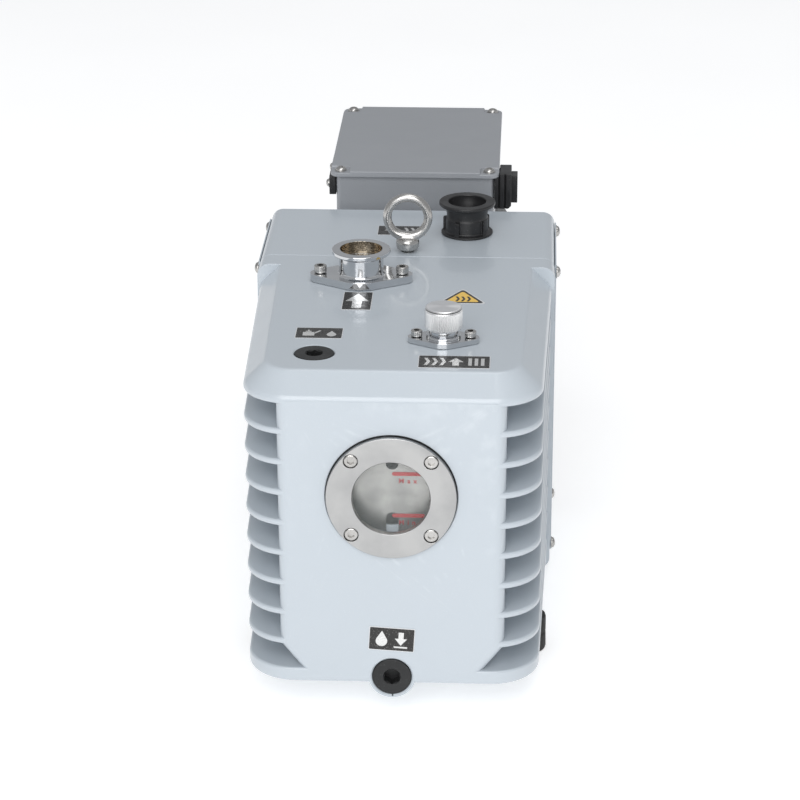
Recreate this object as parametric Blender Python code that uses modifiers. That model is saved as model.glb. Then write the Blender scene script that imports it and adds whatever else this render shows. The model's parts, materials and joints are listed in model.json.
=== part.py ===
"""Rotary vane vacuum pump with its motor, as an assembly of separate solids.

The ground is Z = 0, the front (the sight glass) faces -Y and +X is to the viewer's right.
Depths are measured back from the front face of the oil casing.
"""

from math import cos, pi, radians, sin

import bmesh
import bpy
from mathutils import Matrix

MM = 0.001
GAP = 0.3 * MM  # clearance between pieces that touch

# Overall
TOP_Z = 241 * MM  # top plane of the casings
AXIS_Z = 120 * MM  # height of the shaft
RING_PROUD = 3.5 * MM  # how far the sight glass ring stands in front of the face
MOTOR_END = 590 * MM  # depth of the rear of the fan cowl
FRONT_Y = RING_PROUD - (MOTOR_END + RING_PROUD) / 2

# Oil casing
BASE_Z = 25.6 * MM
CHAMFER = 14.4 * MM
FACE_HALF = 64 * MM  # half width of the flat front face
CORNER_R = 32 * MM
SIDE_HALF_REAR = 101.5 * MM  # the sides spread a little towards the rear
FLANGE_DEPTH = 209 * MM
SEAM_DEPTH = 228 * MM
FLANGE_HALF = 103.5 * MM
FLANGE_BASE_Z = 10 * MM
FLANGE_EDGE_R = 8.5 * MM
WALL = 6 * MM
FRONT_WALL = 12 * MM  # thick enough to close the front behind its chamfer
CAVITY_HALF = 67 * MM

# Cooling fins: recesses cut in from both sides
RECESSES = 9
FIN = 4.2 * MM
FLOOR_PLATE_Z = 36 * MM
RECESS_INNER = 73 * MM
RECESS_EDGE_R = 7 * MM
RECESS_END = 205 * MM
FLARE = 13 * MM  # the lowest recess widens inwards by this

# Sight glass
SIGHT_Z = 160 * MM
RING_R = 41.8 * MM
WINDOW_R = 25 * MM
RING_BACK = 1 * MM  # depth of the ring's back
GASKET_THICK = 0.7 * MM
SEAT_DEPTH = RING_BACK + GASKET_THICK + 2 * GAP
GLASS_R = 30 * MM
GLASS_THICK = 5.4 * MM
SIGHT_SCREW_PCR = 36.2 * MM
SIGHT_BOSS_DEPTH = 15 * MM

# Threaded plugs (G 1/2)
PLUG_R = 12.75 * MM
PLUG_HEAD = 4 * MM
PLUG_THREAD_R = 10.2 * MM
PLUG_LENGTH = 12 * MM
PLUG_HEX = 10 * MM
FILL_X, FILL_DEPTH = -51.2 * MM, 42.8 * MM
DRAIN_Z = 30.9 * MM
DRAIN_BOSS_R = 15.5 * MM

# Ports and fittings on the top
INLET_X, INLET_DEPTH = -28.9 * MM, 177.7 * MM
INLET_HEIGHT = 23.1 * MM
KF_R = 20 * MM  # small-flange vacuum fitting, 40 mm across
INLET_SPIGOT_R = 12.8 * MM
EXHAUST_X, EXHAUST_DEPTH = 40.75 * MM, 280.6 * MM
EXHAUST_HEIGHT = 23.7 * MM
BALLAST_X, BALLAST_DEPTH = 30.9 * MM, 64.7 * MM
KNOB_R = 12.2 * MM
KNOB_LOW, KNOB_HIGH = 9.9 * MM, 24.5 * MM
EYE_DEPTH = 240 * MM

# Coupling housing
HOUSING_END = 329 * MM
HOUSING_FRONT_WALL = 15 * MM
HOUSING_REAR_WALL = 11 * MM
GUARD_THICK = 1 * MM

# Pump stages
STATOR_R = 48 * MM
BORE_R = 34 * MM
ROTOR_R = 29.7 * MM
ECCENTRIC = 4 * MM
STAGE_LIMITS = ((156 * MM, 228 * MM), (108 * MM, 144 * MM))  # front and rear of each
END_PLATE_FRONT = 94 * MM
VANE_THICK = 5 * MM
VANE_DEPTH = 22 * MM
SHAFT_R = 9 * MM
PUMP_HUB_DEPTH = 247 * MM
MOTOR_HUB_DEPTH = 294 * MM

# Motor
MOTOR_BODY_R = 66 * MM
MOTOR_FIN_R = 73 * MM
MOTOR_FINS = 20
SHIELD_FRONT = 343 * MM
SHIELD_REAR = 525 * MM
STACK_R = 60 * MM
MOTOR_ROTOR_R = 33 * MM
COWL_R = 76 * MM
COWL_WALL = 1.5 * MM
COWL_START = 530 * MM

# Terminal box
BOX_HALF = 58.5 * MM
LID_HALF = 62.5 * MM
LID_FRONT, LID_REAR = 357 * MM, 525 * MM
LID_TOP = 261 * MM
LID_THICK = 4.6 * MM
BOX_OVERHANG = 4 * MM
BOX_LOW = 196 * MM
LID_PAD = 6 * MM  # half of a lowered corner pad, and its reach past the corner
LID_PAD_REACH = 30 * MM
LID_PAD_DROP = 1.4 * MM

# Power inlet on the box's left side, switch on its right
INLET_DEEP = 20 * MM  # how far the power inlet reaches into the box
INLET_PLATE = (363 * MM, 411 * MM)
INLET_HOLE = (373 * MM, 401 * MM)
INLET_LOW = 241 * MM
INLET_HIGH = LID_TOP - LID_THICK - 2 * GAP
SWITCH_DEPTH = (361 * MM, 385 * MM)
SWITCH_Z = (232 * MM, 259 * MM)
SWITCH_OUT = 71.5 * MM

# Feet
FOOT_R = 13 * MM
FRONT_FOOT_X, FRONT_FOOT_DEPTH = 88 * MM, 107 * MM
REAR_FOOT_X, REAR_FOOT_DEPTH = 78 * MM, 450 * MM
FOOT_BAR_THICK = 8 * MM

TURN = {
    "up": (0, 0, 0),
    "down": (pi, 0, 0),
    "front": (pi / 2, 0, 0),
    "back": (-pi / 2, 0, 0),
    "right": (0, pi / 2, 0),
    "left": (0, -pi / 2, 0),
}

FINISHES = {
    "casing_paint": ((0.70, 0.75, 0.79), 0.25, 0.0),
    "box_paint": ((0.33, 0.35, 0.38), 0.45, 0.0),
    "cast_iron": ((0.20, 0.20, 0.21), 0.6, 0.8),
    "stainless": ((0.72, 0.71, 0.69), 0.28, 1.0),
    "chrome": ((0.85, 0.85, 0.86), 0.08, 1.0),
    "steel": ((0.50, 0.50, 0.52), 0.35, 1.0),
    "aluminium": ((0.75, 0.76, 0.77), 0.35, 1.0),
    "black_plastic": ((0.02, 0.02, 0.022), 0.4, 0.0),
    "rubber": ((0.015, 0.015, 0.015), 0.8, 0.0),
    "glass": ((0.9, 0.95, 0.95), 0.03, 0.0),
    "copper": ((0.55, 0.22, 0.10), 0.4, 1.0),
    "composite": ((0.10, 0.09, 0.08), 0.6, 0.0),
}


def clear_scene():
    for obj in list(bpy.data.objects):
        bpy.data.objects.remove(obj, do_unlink=True)


def new_collection(name):
    collection = bpy.data.collections.new(name)
    bpy.context.scene.collection.children.link(collection)
    return collection


def make_material(name):
    colour, roughness, metallic = FINISHES[name]
    material = bpy.data.materials.new(name)
    material.use_nodes = True
    shader = material.node_tree.nodes["Principled BSDF"]
    shader.inputs["Base Color"].default_value = (*colour, 1)
    shader.inputs["Roughness"].default_value = roughness
    shader.inputs["Metallic"].default_value = metallic
    return material


clear_scene()
PUMP = new_collection("rotary_vane_vacuum_pump")
TOOLS = new_collection("cutters")
MATERIALS = {name: make_material(name) for name in FINISHES}


def at(x, depth, z):
    """World position of a point this far behind the front face."""
    return (x, FRONT_Y + depth, z)


def as_object(mesh, where, facing):
    """A loose object in the cutters collection; part() turns it into a sub-part."""
    obj = bpy.data.objects.new("tool", mesh)
    obj.location = where
    obj.rotation_euler = TURN[facing]
    obj.hide_render = True
    obj.display_type = "WIRE"
    TOOLS.objects.link(obj)
    return obj


def part(name, obj, finish, smooth=True):
    """Names the object, gives it its material and moves it among the sub-parts."""
    obj.name = name
    obj.data.name = name
    TOOLS.objects.unlink(obj)
    PUMP.objects.link(obj)
    obj.hide_render = False
    obj.display_type = "TEXTURED"
    obj.data.materials.clear()
    obj.data.materials.append(MATERIALS[finish])
    if smooth:
        obj.data.shade_smooth()
        obj.data.set_sharp_from_angle(angle=radians(30))
    return obj


def drum(radius, depth, where, facing="up", segments=24):
    """A cylinder that starts at a point and extends the way it faces."""
    bm = bmesh.new()
    bmesh.ops.create_cone(
        bm, cap_ends=True, segments=segments, radius1=radius, radius2=radius, depth=depth
    )
    bmesh.ops.translate(bm, verts=bm.verts, vec=(0, 0, depth / 2))
    mesh = bpy.data.meshes.new("drum")
    bm.to_mesh(mesh)
    bm.free()
    return as_object(mesh, where, facing)


def block(width, length, height, where):
    """A box centred on X and Y over a point, standing on it."""
    bm = bmesh.new()
    bmesh.ops.create_cube(bm, size=1)
    bmesh.ops.scale(bm, verts=bm.verts, vec=(width, length, height))
    bmesh.ops.translate(bm, verts=bm.verts, vec=(0, 0, height / 2))
    mesh = bpy.data.meshes.new("block")
    bm.to_mesh(mesh)
    bm.free()
    return as_object(mesh, where, "up")


def block_between(x, depth, z):
    """A box given by its limits across, back and up."""
    middle = at(sum(x) / 2, sum(depth) / 2, z[0])
    return block(x[1] - x[0], depth[1] - depth[0], z[1] - z[0], middle)


def turned(profile, where, facing="up", steps=32, ring=False):
    """A profile of (radius, height) points, down its outer side, turned about its axis."""
    bm = bmesh.new()
    verts = [bm.verts.new((radius, 0, height)) for radius, height in profile]
    for first, second in zip(verts, verts[1:]):
        bm.edges.new((first, second))
    if ring:
        bm.edges.new((verts[-1], verts[0]))
    mesh = bpy.data.meshes.new("turned")
    bm.to_mesh(mesh)
    bm.free()
    obj = as_object(mesh, where, facing)
    screw = obj.modifiers.new("turn", "SCREW")
    screw.axis = "Z"
    screw.angle = 2 * pi
    screw.steps = steps
    screw.render_steps = steps
    screw.use_merge_vertices = True
    screw.merge_threshold = 0.00005
    screw.use_smooth_shade = True
    return obj


def extruded(outlines, depth, where, facing="up"):
    """Flat outlines, the first one outside and the rest holes, pulled out the way they face."""
    curve = bpy.data.curves.new("outline", "CURVE")
    curve.dimensions = "2D"
    curve.fill_mode = "BOTH"
    curve.extrude = depth / 2
    for outline in outlines:
        spline = curve.splines.new("POLY")
        spline.points.add(len(outline) - 1)
        for point, (x, y) in zip(spline.points, outline):
            point.co = (x, y, 0, 1)
        spline.use_cyclic_u = True
    guide = bpy.data.objects.new("outline", curve)
    TOOLS.objects.link(guide)
    evaluated = guide.evaluated_get(bpy.context.evaluated_depsgraph_get())
    mesh = bpy.data.meshes.new_from_object(evaluated)
    bpy.data.objects.remove(guide)
    bm = bmesh.new()
    bm.from_mesh(mesh)
    bmesh.ops.remove_doubles(bm, verts=bm.verts, dist=0.00001)
    if len(outlines) == 1:
        bmesh.ops.dissolve_limit(bm, angle_limit=radians(0.1), verts=bm.verts, edges=bm.edges)
    bmesh.ops.translate(bm, verts=bm.verts, vec=(0, 0, depth / 2))
    bmesh.ops.recalc_face_normals(bm, faces=bm.faces)
    bm.to_mesh(mesh)
    bm.free()
    return as_object(mesh, where, facing)


def boolean(target, operation, *others):
    for other in others:
        modifier = target.modifiers.new(operation.lower(), "BOOLEAN")
        modifier.operation = operation
        modifier.solver = "EXACT"
        modifier.object = other
    return target


def cut(target, *others):
    return boolean(target, "DIFFERENCE", *others)


def join(target, *others):
    return boolean(target, "UNION", *others)


def mirror_tool(obj):
    """Adds the other side's twin of a cutter that stands clear of the middle plane."""
    modifier = obj.modifiers.new("mirror", "MIRROR")
    modifier.mirror_object = MIDDLE
    modifier.merge_threshold = 0.0001
    return obj


MIDDLE = bpy.data.objects.new("middle_plane", None)
TOOLS.objects.link(MIDDLE)


def arc(centre, radius, start, end, segments):
    """Points along an arc, angles in degrees."""
    angles = [radians(start + (end - start) * i / segments) for i in range(segments + 1)]
    return [(centre[0] + radius * cos(a), centre[1] + radius * sin(a)) for a in angles]


def rounded_rectangle(x, y, radius, segments=4):
    """Outline between two limits across and two limits up, with round corners."""
    corners = ((x[1], y[0], -90), (x[1], y[1], 0), (x[0], y[1], 90), (x[0], y[0], 180))
    outline = []
    for corner_x, corner_y, start in corners:
        centre_x = corner_x - radius if corner_x == x[1] else corner_x + radius
        centre_y = corner_y - radius if corner_y == y[1] else corner_y + radius
        outline += arc((centre_x, centre_y), radius, start, start + 90, segments)
    return outline


def tipped_oval(half_length, half_width, tip_r, segments=6):
    """A rhombic plate with round tips and a round middle, as one hull-shaped outline."""
    tip = half_length - tip_r
    outline = []
    for side in (0, 180):
        sign = 1 if side == 0 else -1
        outline += arc((sign * tip, 0), tip_r, side - 60, side + 60, segments)
        outline += arc((0, 0), half_width, side + 68, side + 112, segments)
    return outline


def cap_screw(name, head_r, head_h, shank_r, length, where, facing, finish="stainless"):
    """Socket head cap screw whose head stands on the given point."""
    profile = (
        (0, head_h),
        (head_r, head_h),
        (head_r, 0),
        (shank_r, 0),
        (shank_r, -length),
        (0, -length),
    )
    screw = turned(profile, where, facing, steps=14)
    tool = drum(0.55 * head_r, head_h, (0, 0, 0.45 * head_h), "up", segments=6)
    tool.parent = screw
    return part(name, cut(screw, tool), finish)


def casing_outline():
    """Plan of the finned casing: flat front, round corners, sides that spread backwards."""
    side = FACE_HALF + CORNER_R
    rear = FLANGE_DEPTH + 2 * MM
    corner = arc((FACE_HALF, CORNER_R), CORNER_R, -90, 0, 6)
    right = corner[:-1] + [(side, CORNER_R), (SIDE_HALF_REAR, rear)]
    return [(-x, y) for x, y in reversed(right)] + right


def bevel_front_top(obj, width):
    """Chamfers the top edge round the front and the sides, but not the rear."""
    mesh = obj.data
    top = max(v.co.z for v in mesh.vertices)
    rear = max(v.co.y for v in mesh.vertices)
    weights = mesh.attributes.new("bevel_weight_edge", "FLOAT", "EDGE")
    for edge in mesh.edges:
        ends = [mesh.vertices[i].co for i in edge.vertices]
        on_top = all(end.z > top - GAP for end in ends)
        on_rear = all(end.y > rear - GAP for end in ends)
        weights.data[edge.index].value = 1.0 if on_top and not on_rear else 0.0
    bevel = obj.modifiers.new("chamfer", "BEVEL")
    bevel.limit_method = "WEIGHT"
    bevel.offset_type = "OFFSET"
    bevel.width = width
    bevel.segments = 1
    bevel.use_clamp_overlap = False
    return obj


def recess(low, high, flare):
    """Cutter for one gap between fins; flare moves the inner wall's lower edge inwards."""
    far = SIDE_HALF_REAR + 20 * MM
    wall = RECESS_INNER - RECESS_EDGE_R
    edge = arc((wall, RECESS_EDGE_R), RECESS_EDGE_R, -90, 0, 3)
    root = arc((RECESS_INNER + 4 * MM, RECESS_END - 4 * MM), 4 * MM, 180, 90, 2)
    outline = [(far, -5 * MM), (wall, -5 * MM)] + edge + root + [(far, RECESS_END)]
    tool = extruded([outline], high - low, at(0, 0, low))
    for vertex in tool.data.vertices:
        if vertex.co.x < RECESS_INNER + 5 * MM and vertex.co.z < GAP:
            vertex.co.x -= flare
    return mirror_tool(tool)


def oil_casing():
    body = extruded([casing_outline()], TOP_Z - BASE_Z, at(0, 0, BASE_Z))
    bevel_front_top(body, CHAMFER)
    flange = extruded(
        [rounded_rectangle((-FLANGE_HALF, FLANGE_HALF), (FLANGE_BASE_Z, TOP_Z), FLANGE_EDGE_R)],
        SEAM_DEPTH - FLANGE_DEPTH,
        at(0, SEAM_DEPTH, 0),
        "front",
    )
    belly = extruded(
        [rounded_rectangle((-48 * MM, 48 * MM), (21 * MM, BASE_Z + 4 * MM), 3 * MM, 2)],
        195 * MM,
        at(0, FLANGE_DEPTH, 0),
        "front",
    )
    drain_boss = drum(DRAIN_BOSS_R, 28 * MM, at(0, 28 * MM, DRAIN_Z), "front", 32)
    join(body, flange, belly, drain_boss)
    cut(body, casing_cavity())
    sight_boss = drum(35 * MM, 11 * MM, at(0, SIGHT_BOSS_DEPTH, SIGHT_Z), "front")
    fill_boss = drum(16 * MM, 16 * MM, at(FILL_X, FILL_DEPTH, TOP_Z - 20 * MM))
    drain_core = drum(15 * MM, 22 * MM, at(0, 27 * MM, DRAIN_Z), "front")
    join(body, sight_boss, fill_boss, drain_core)
    pitch = (TOP_Z - CHAMFER - FLOOR_PLATE_Z) / RECESSES
    for i in range(RECESSES):
        low = FLOOR_PLATE_Z + i * pitch
        cut(body, recess(low, low + pitch - FIN, FLARE if i == 0 else 0))
    cut(body, *casing_holes())
    return part("oil_casing", body, "casing_paint")


def casing_cavity():
    """The oil space, narrower at the bottom to keep clear of the flared recess."""
    low, high = BASE_Z + 5.4 * MM, TOP_Z - WALL
    half = [(0.75 * CAVITY_HALF, low), (0.75 * CAVITY_HALF, low + 9 * MM)]
    half += [(CAVITY_HALF, low + 30 * MM), (CAVITY_HALF, high)]
    outline = half + [(-x, z) for x, z in reversed(half)]
    depth = SEAM_DEPTH + 2 * MM - FRONT_WALL
    return extruded([outline], depth, at(0, SEAM_DEPTH + 2 * MM, 0), "front")


def casing_holes():
    past = 2 * MM
    ring_seat = drum(RING_R + 0.8 * MM, SEAT_DEPTH + past, at(0, SEAT_DEPTH, SIGHT_Z), "front", 36)
    glass_bore = drum(GLASS_R + GAP, 13.5 * MM, at(0, 13.5 * MM, SIGHT_Z), "front")
    view_bore = drum(26 * MM, 8 * MM, at(0, 20 * MM, SIGHT_Z), "front")
    holes = [ring_seat, glass_bore, view_bore]
    for x, z in sight_screw_places():
        holes.append(drum(2.4 * MM, 11 * MM, at(x, 10 * MM, z), "front", 8))
    for centre, facing in (
        (at(FILL_X, FILL_DEPTH, TOP_Z), "down"),
        (at(0, 0, DRAIN_Z), "back"),
    ):
        head = drum(PLUG_R + GAP, PLUG_HEAD + 1.3 * MM, centre, facing)
        thread = drum(PLUG_THREAD_R + GAP, 31 * MM, centre, facing)
        mouth = drum(PLUG_R + GAP, past, centre, "up" if facing == "down" else "front")
        holes += [head, thread, mouth]
    inlet = drum(INLET_SPIGOT_R + GAP, 20 * MM, at(INLET_X, INLET_DEPTH, TOP_Z - 15 * MM))
    stem = drum(4.5 * MM, 20 * MM, at(BALLAST_X, BALLAST_DEPTH, TOP_Z - 15 * MM), segments=16)
    holes += [inlet, stem]
    for x, depth in inlet_screw_places() + ballast_screw_places():
        holes.append(drum(2.8 * MM, 12 * MM, at(x, depth, TOP_Z - 8 * MM), segments=8))
    return holes


def sight_screw_places():
    side = SIGHT_SCREW_PCR * cos(pi / 4)
    return [(x * side, SIGHT_Z + z * side) for x in (-1, 1) for z in (1, -1)]


def inlet_screw_places():
    return [(INLET_X + side * 28 * MM, INLET_DEPTH) for side in (-1, 1)]


def ballast_screw_places():
    return [(BALLAST_X + side * 17.4 * MM, BALLAST_DEPTH) for side in (-1, 1)]


def sight_glass():
    ring = turned(
        (
            (WINDOW_R + 1 * MM, RING_PROUD),
            (RING_R - 0.8 * MM, RING_PROUD),
            (RING_R, RING_PROUD - 0.8 * MM),
            (RING_R, -RING_BACK),
            (WINDOW_R, -RING_BACK),
            (WINDOW_R, RING_PROUD - 1 * MM),
        ),
        at(0, 0, SIGHT_Z),
        "front",
        36,
        ring=True,
    )
    seat = RING_PROUD - 3 * MM
    for x, z in sight_screw_places():
        cut(ring, drum(4.8 * MM, 5 * MM, at(x, -seat, z), "front", 12))
        cut(ring, drum(2.4 * MM, 12 * MM, at(x, 6 * MM, z), "front", 8))
    part("sight_glass_ring", ring, "stainless")
    for i, (x, z) in enumerate(sight_screw_places(), 1):
        cap_screw(
            f"sight_screw_{i}", 4.3 * MM, 2.6 * MM, 2 * MM, 9 * MM, at(x, -seat - GAP, z), "front"
        )
    glass = drum(GLASS_R, GLASS_THICK, at(0, RING_BACK + GAP + GLASS_THICK, SIGHT_Z), "front")
    part("sight_glass", glass, "glass")
    gasket = turned(
        (
            (RING_R + 0.4 * MM, 0),
            (RING_R + 0.4 * MM, -GASKET_THICK),
            (GLASS_R + 1 * MM, -GASKET_THICK),
            (GLASS_R + 1 * MM, 0),
        ),
        at(0, RING_BACK + GAP, SIGHT_Z),
        "front",
        28,
        ring=True,
    )
    for x, z in sight_screw_places():
        cut(gasket, drum(2.4 * MM, 5 * MM, at(x, 4 * MM, z), "front", 8))
    part("sight_gasket", gasket, "rubber")
    plate = drum(GLASS_R, 1.2 * MM, at(0, 13.2 * MM, SIGHT_Z), "front")
    cut(plate, drum(4 * MM, 4 * MM, at(0, 14 * MM, SIGHT_Z + 24 * MM), "front", 16))
    slot = extruded(
        [rounded_rectangle((-4 * MM, 4 * MM), (-24 * MM, -11 * MM), 3.8 * MM, 4)],
        4 * MM,
        at(0, 14 * MM, SIGHT_Z),
        "front",
    )
    part("oil_level_plate", cut(plate, slot), "stainless")


def threaded_plug(name, centre, facing):
    """Flanged screw plug with a hexagon socket, its seal under the flange."""
    profile = (
        (0, 0),
        (PLUG_R - 0.6 * MM, 0),
        (PLUG_R, -0.6 * MM),
        (PLUG_R, -PLUG_HEAD),
        (PLUG_THREAD_R, -PLUG_HEAD),
        (PLUG_THREAD_R, -PLUG_HEAD - PLUG_LENGTH),
        (0, -PLUG_HEAD - PLUG_LENGTH),
    )
    plug = turned(profile, centre, facing, 24)
    socket = drum(PLUG_HEX / 2 / cos(pi / 6), 12 * MM, (0, 0, -8 * MM), segments=6)
    socket.parent = plug
    part(f"{name}_plug", cut(plug, socket), "black_plastic")
    seal_top = -PLUG_HEAD - GAP
    seal_low = seal_top - 0.7 * MM
    inner, outer = PLUG_THREAD_R + GAP, PLUG_R - 0.4 * MM
    seal = turned(
        ((outer, seal_top), (outer, seal_low), (inner, seal_low), (inner, seal_top)),
        centre,
        facing,
        20,
        ring=True,
    )
    part(f"{name}_plug_seal", seal, "rubber")


def inlet_port():
    where = at(INLET_X, INLET_DEPTH, TOP_Z + GAP)
    base = 5.4 * MM
    neck, bore, passage = 15.2 * MM, 14.4 * MM, 9.5 * MM
    top = INLET_HEIGHT
    screen_seat = top - 9 * MM
    port = turned(
        (
            (0, top),
            (KF_R, top),
            (KF_R, top - 2.6 * MM),
            (neck, top - 4.2 * MM),
            (neck, 1 * MM),
            (INLET_SPIGOT_R, 1 * MM),
            (INLET_SPIGOT_R, -20 * MM),
            (0, -20 * MM),
        ),
        where,
        "up",
        28,
    )
    join(port, extruded([tipped_oval(35 * MM, 21.5 * MM, 7 * MM, 4)], base, where))
    for radius, low in ((bore, screen_seat), (bore - 2 * MM, 3 * MM), (passage, -25 * MM)):
        hole_start = at(INLET_X, INLET_DEPTH, TOP_Z + GAP + low)
        cut(port, drum(radius, 60 * MM, hole_start, segments=28))
    for x, depth in inlet_screw_places():
        cut(port, drum(2.8 * MM, 9 * MM, at(x, depth, TOP_Z - 1 * MM), segments=8))
    part("inlet_port", port, "chrome")
    for i, (x, depth) in enumerate(inlet_screw_places(), 1):
        seat = at(x, depth, TOP_Z + base + 2 * GAP)
        cap_screw(f"inlet_screw_{i}", 4.25 * MM, 5 * MM, 2.4 * MM, 11 * MM, seat, "up")
    screen_z = TOP_Z + screen_seat + 2 * GAP
    screen = drum(bore - GAP, 0.8 * MM, at(INLET_X, INLET_DEPTH, screen_z), segments=28)
    part("inlet_screen", screen, "stainless")


def gas_ballast():
    base = at(BALLAST_X, BALLAST_DEPTH, TOP_Z + GAP)
    plate_h = 3.6 * MM
    plate = extruded([tipped_oval(23.2 * MM, 14 * MM, 5 * MM, 4)], plate_h, base)
    neck = turned(
        (
            (0, KNOB_LOW - 0.6 * MM),
            (9 * MM, KNOB_LOW - 0.6 * MM),
            (9 * MM, plate_h + 2.5 * MM),
            (11 * MM, plate_h + 2 * MM),
            (11 * MM, 1 * MM),
            (0, 1 * MM),
        ),
        base,
        "up",
        20,
    )
    join(plate, neck)
    cut(plate, drum(4.5 * MM, 20 * MM, at(BALLAST_X, BALLAST_DEPTH, TOP_Z - 5 * MM), segments=16))
    for x, depth in ballast_screw_places():
        cut(plate, drum(2.4 * MM, 9 * MM, at(x, depth, TOP_Z - 2 * MM), segments=8))
    part("ballast_flange", plate, "chrome")
    for i, (x, depth) in enumerate(ballast_screw_places(), 1):
        seat = at(x, depth, TOP_Z + plate_h + 2 * GAP)
        cap_screw(f"ballast_screw_{i}", 3.7 * MM, 4 * MM, 2 * MM, 9 * MM, seat, "up")
    stem_profile = (
        (0, KNOB_HIGH - 4 * MM),
        (3 * MM, KNOB_HIGH - 4 * MM),
        (3 * MM, KNOB_LOW - 0.3 * MM),
        (4 * MM, KNOB_LOW - 0.3 * MM),
        (4 * MM, -8 * MM),
        (0, -11 * MM),
    )
    part("ballast_stem", turned(stem_profile, base, "up", 16), "steel")
    edge = 1.3 * MM
    hub = 3 * MM + GAP
    knob_profile = (
        (0, KNOB_HIGH),
        (KNOB_R - edge, KNOB_HIGH),
        (KNOB_R, KNOB_HIGH - edge),
        (KNOB_R, KNOB_LOW + edge),
        (KNOB_R - edge, KNOB_LOW),
        (hub, KNOB_LOW),
        (hub, KNOB_HIGH - 4 * MM + GAP),
        (0, KNOB_HIGH - 4 * MM + GAP),
    )
    part("ballast_knob", turned(knob_profile, base, "up", 24), "aluminium")


def exhaust_port():
    top = EXHAUST_HEIGHT
    bore = 13.4 * MM
    profile = (
        (bore, top),
        (KF_R, top),
        (KF_R, top - 2.6 * MM),
        (15.5 * MM, top - 5 * MM),
        (14.8 * MM, top - 12 * MM),
        (17 * MM, top - 12.6 * MM),
        (17 * MM, 2.4 * MM),
        (18.4 * MM, 2.4 * MM),
        (18.4 * MM, 0),
        (11 * MM, 0),
        (11 * MM, -10 * MM),
        (9 * MM, -10 * MM),
        (9 * MM, 8 * MM),
        (bore, top - 6 * MM),
    )
    where = at(EXHAUST_X, EXHAUST_DEPTH, TOP_Z + GAP)
    part("exhaust_port", turned(profile, where, "up", 20, ring=True), "black_plastic")


def eye_bolt():
    bpy.ops.mesh.primitive_torus_add(
        major_segments=24, minor_segments=8, major_radius=14.3 * MM, minor_radius=3.05 * MM
    )
    ring = bpy.context.object
    for collection in list(ring.users_collection):
        collection.objects.unlink(ring)
    TOOLS.objects.link(ring)
    ring.location = at(0, EYE_DEPTH, TOP_Z + 25 * MM)
    ring.rotation_euler = TURN["front"]
    shank = turned(
        (
            (0, 9.5 * MM),
            (7 * MM, 9.5 * MM),
            (8.3 * MM, 8.3 * MM),
            (8.3 * MM, 2 * MM),
            (4 * MM, 1.4 * MM),
            (4 * MM, -11 * MM),
            (0, -11 * MM),
        ),
        at(0, EYE_DEPTH, TOP_Z),
        "up",
        20,
    )
    part("eye_bolt", join(ring, shank), "stainless")


def coupling_housing():
    front = SEAM_DEPTH + GAP
    outline = rounded_rectangle((-FLANGE_HALF, FLANGE_HALF), (FLANGE_BASE_Z, TOP_Z), FLANGE_EDGE_R)
    body = extruded([outline], HOUSING_END - front, at(0, HOUSING_END, 0), "front")
    inside = (front + HOUSING_FRONT_WALL, HOUSING_END - HOUSING_REAR_WALL)
    cavity = block_between((-95 * MM, 95 * MM), inside, (22 * MM, 229 * MM))
    window_depth = (inside[0] + 6 * MM, inside[1] - 6 * MM)
    window = block_between((-110 * MM, 110 * MM), window_depth, (40 * MM, 210 * MM))
    cut(body, cavity, window)
    duct = block_between(
        (EXHAUST_X - 16 * MM, EXHAUST_X + 16 * MM), (front + 5 * MM, 300 * MM), (204 * MM, 232 * MM)
    )
    join(body, duct)
    riser = drum(11.3 * MM, 40 * MM, at(EXHAUST_X, EXHAUST_DEPTH, 215 * MM), segments=24)
    channel = drum(8 * MM, 60 * MM, at(EXHAUST_X, EXHAUST_DEPTH, 218 * MM), "front", 16)
    shaft_hole = drum(14 * MM, 20 * MM, at(0, front - 2 * MM, AXIS_Z), "back")
    motor_hole = drum(40 * MM, 20 * MM, at(0, HOUSING_END - 15 * MM, AXIS_Z), "back")
    eye_hole = drum(4 * MM + GAP, 20 * MM, at(0, EYE_DEPTH, TOP_Z - 12 * MM), segments=16)
    cut(body, riser, channel, shaft_hole, motor_hole, eye_hole)
    part("coupling_housing", body, "casing_paint")


def side_guard(name, side):
    """Louvred cover plate over one window of the coupling housing."""
    depth = (231 * MM, 326 * MM)
    heights = (14 * MM, 235 * MM)
    plate = rounded_rectangle((-heights[1], -heights[0]), depth, 3 * MM, 2)
    outlines = [[(x, y + FRONT_Y) for x, y in plate]]
    rows, columns = 7, 3
    slot_w, slot_h = 5 * MM, 13 * MM
    for row in range(rows):
        z = 47 * MM + row * 25 * MM
        for column in range(columns):
            y = FRONT_Y + 254 * MM + column * 24 * MM
            signs = ((-1, -1), (1, -1), (1, 1), (-1, 1))
            outlines.append([(-z + a * slot_h / 2, y + b * slot_w / 2) for a, b in signs])
    start = FLANGE_HALF + GAP / 2 if side > 0 else -FLANGE_HALF - GAP / 2 - GUARD_THICK
    part(name, extruded(outlines, GUARD_THICK, (start, 0, 0), "right"), "casing_paint")


def stage_block(front, rear):
    """Stator cylinder with its bore set below the shaft; the bore is the returned cutter."""
    length = rear - front - GAP
    body = drum(STATOR_R, length, at(0, rear, AXIS_Z), "front", 36)
    bore = drum(BORE_R, length + 4 * MM, at(0, rear + 2 * MM, AXIS_Z - ECCENTRIC), "front", 36)
    return body, bore


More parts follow.
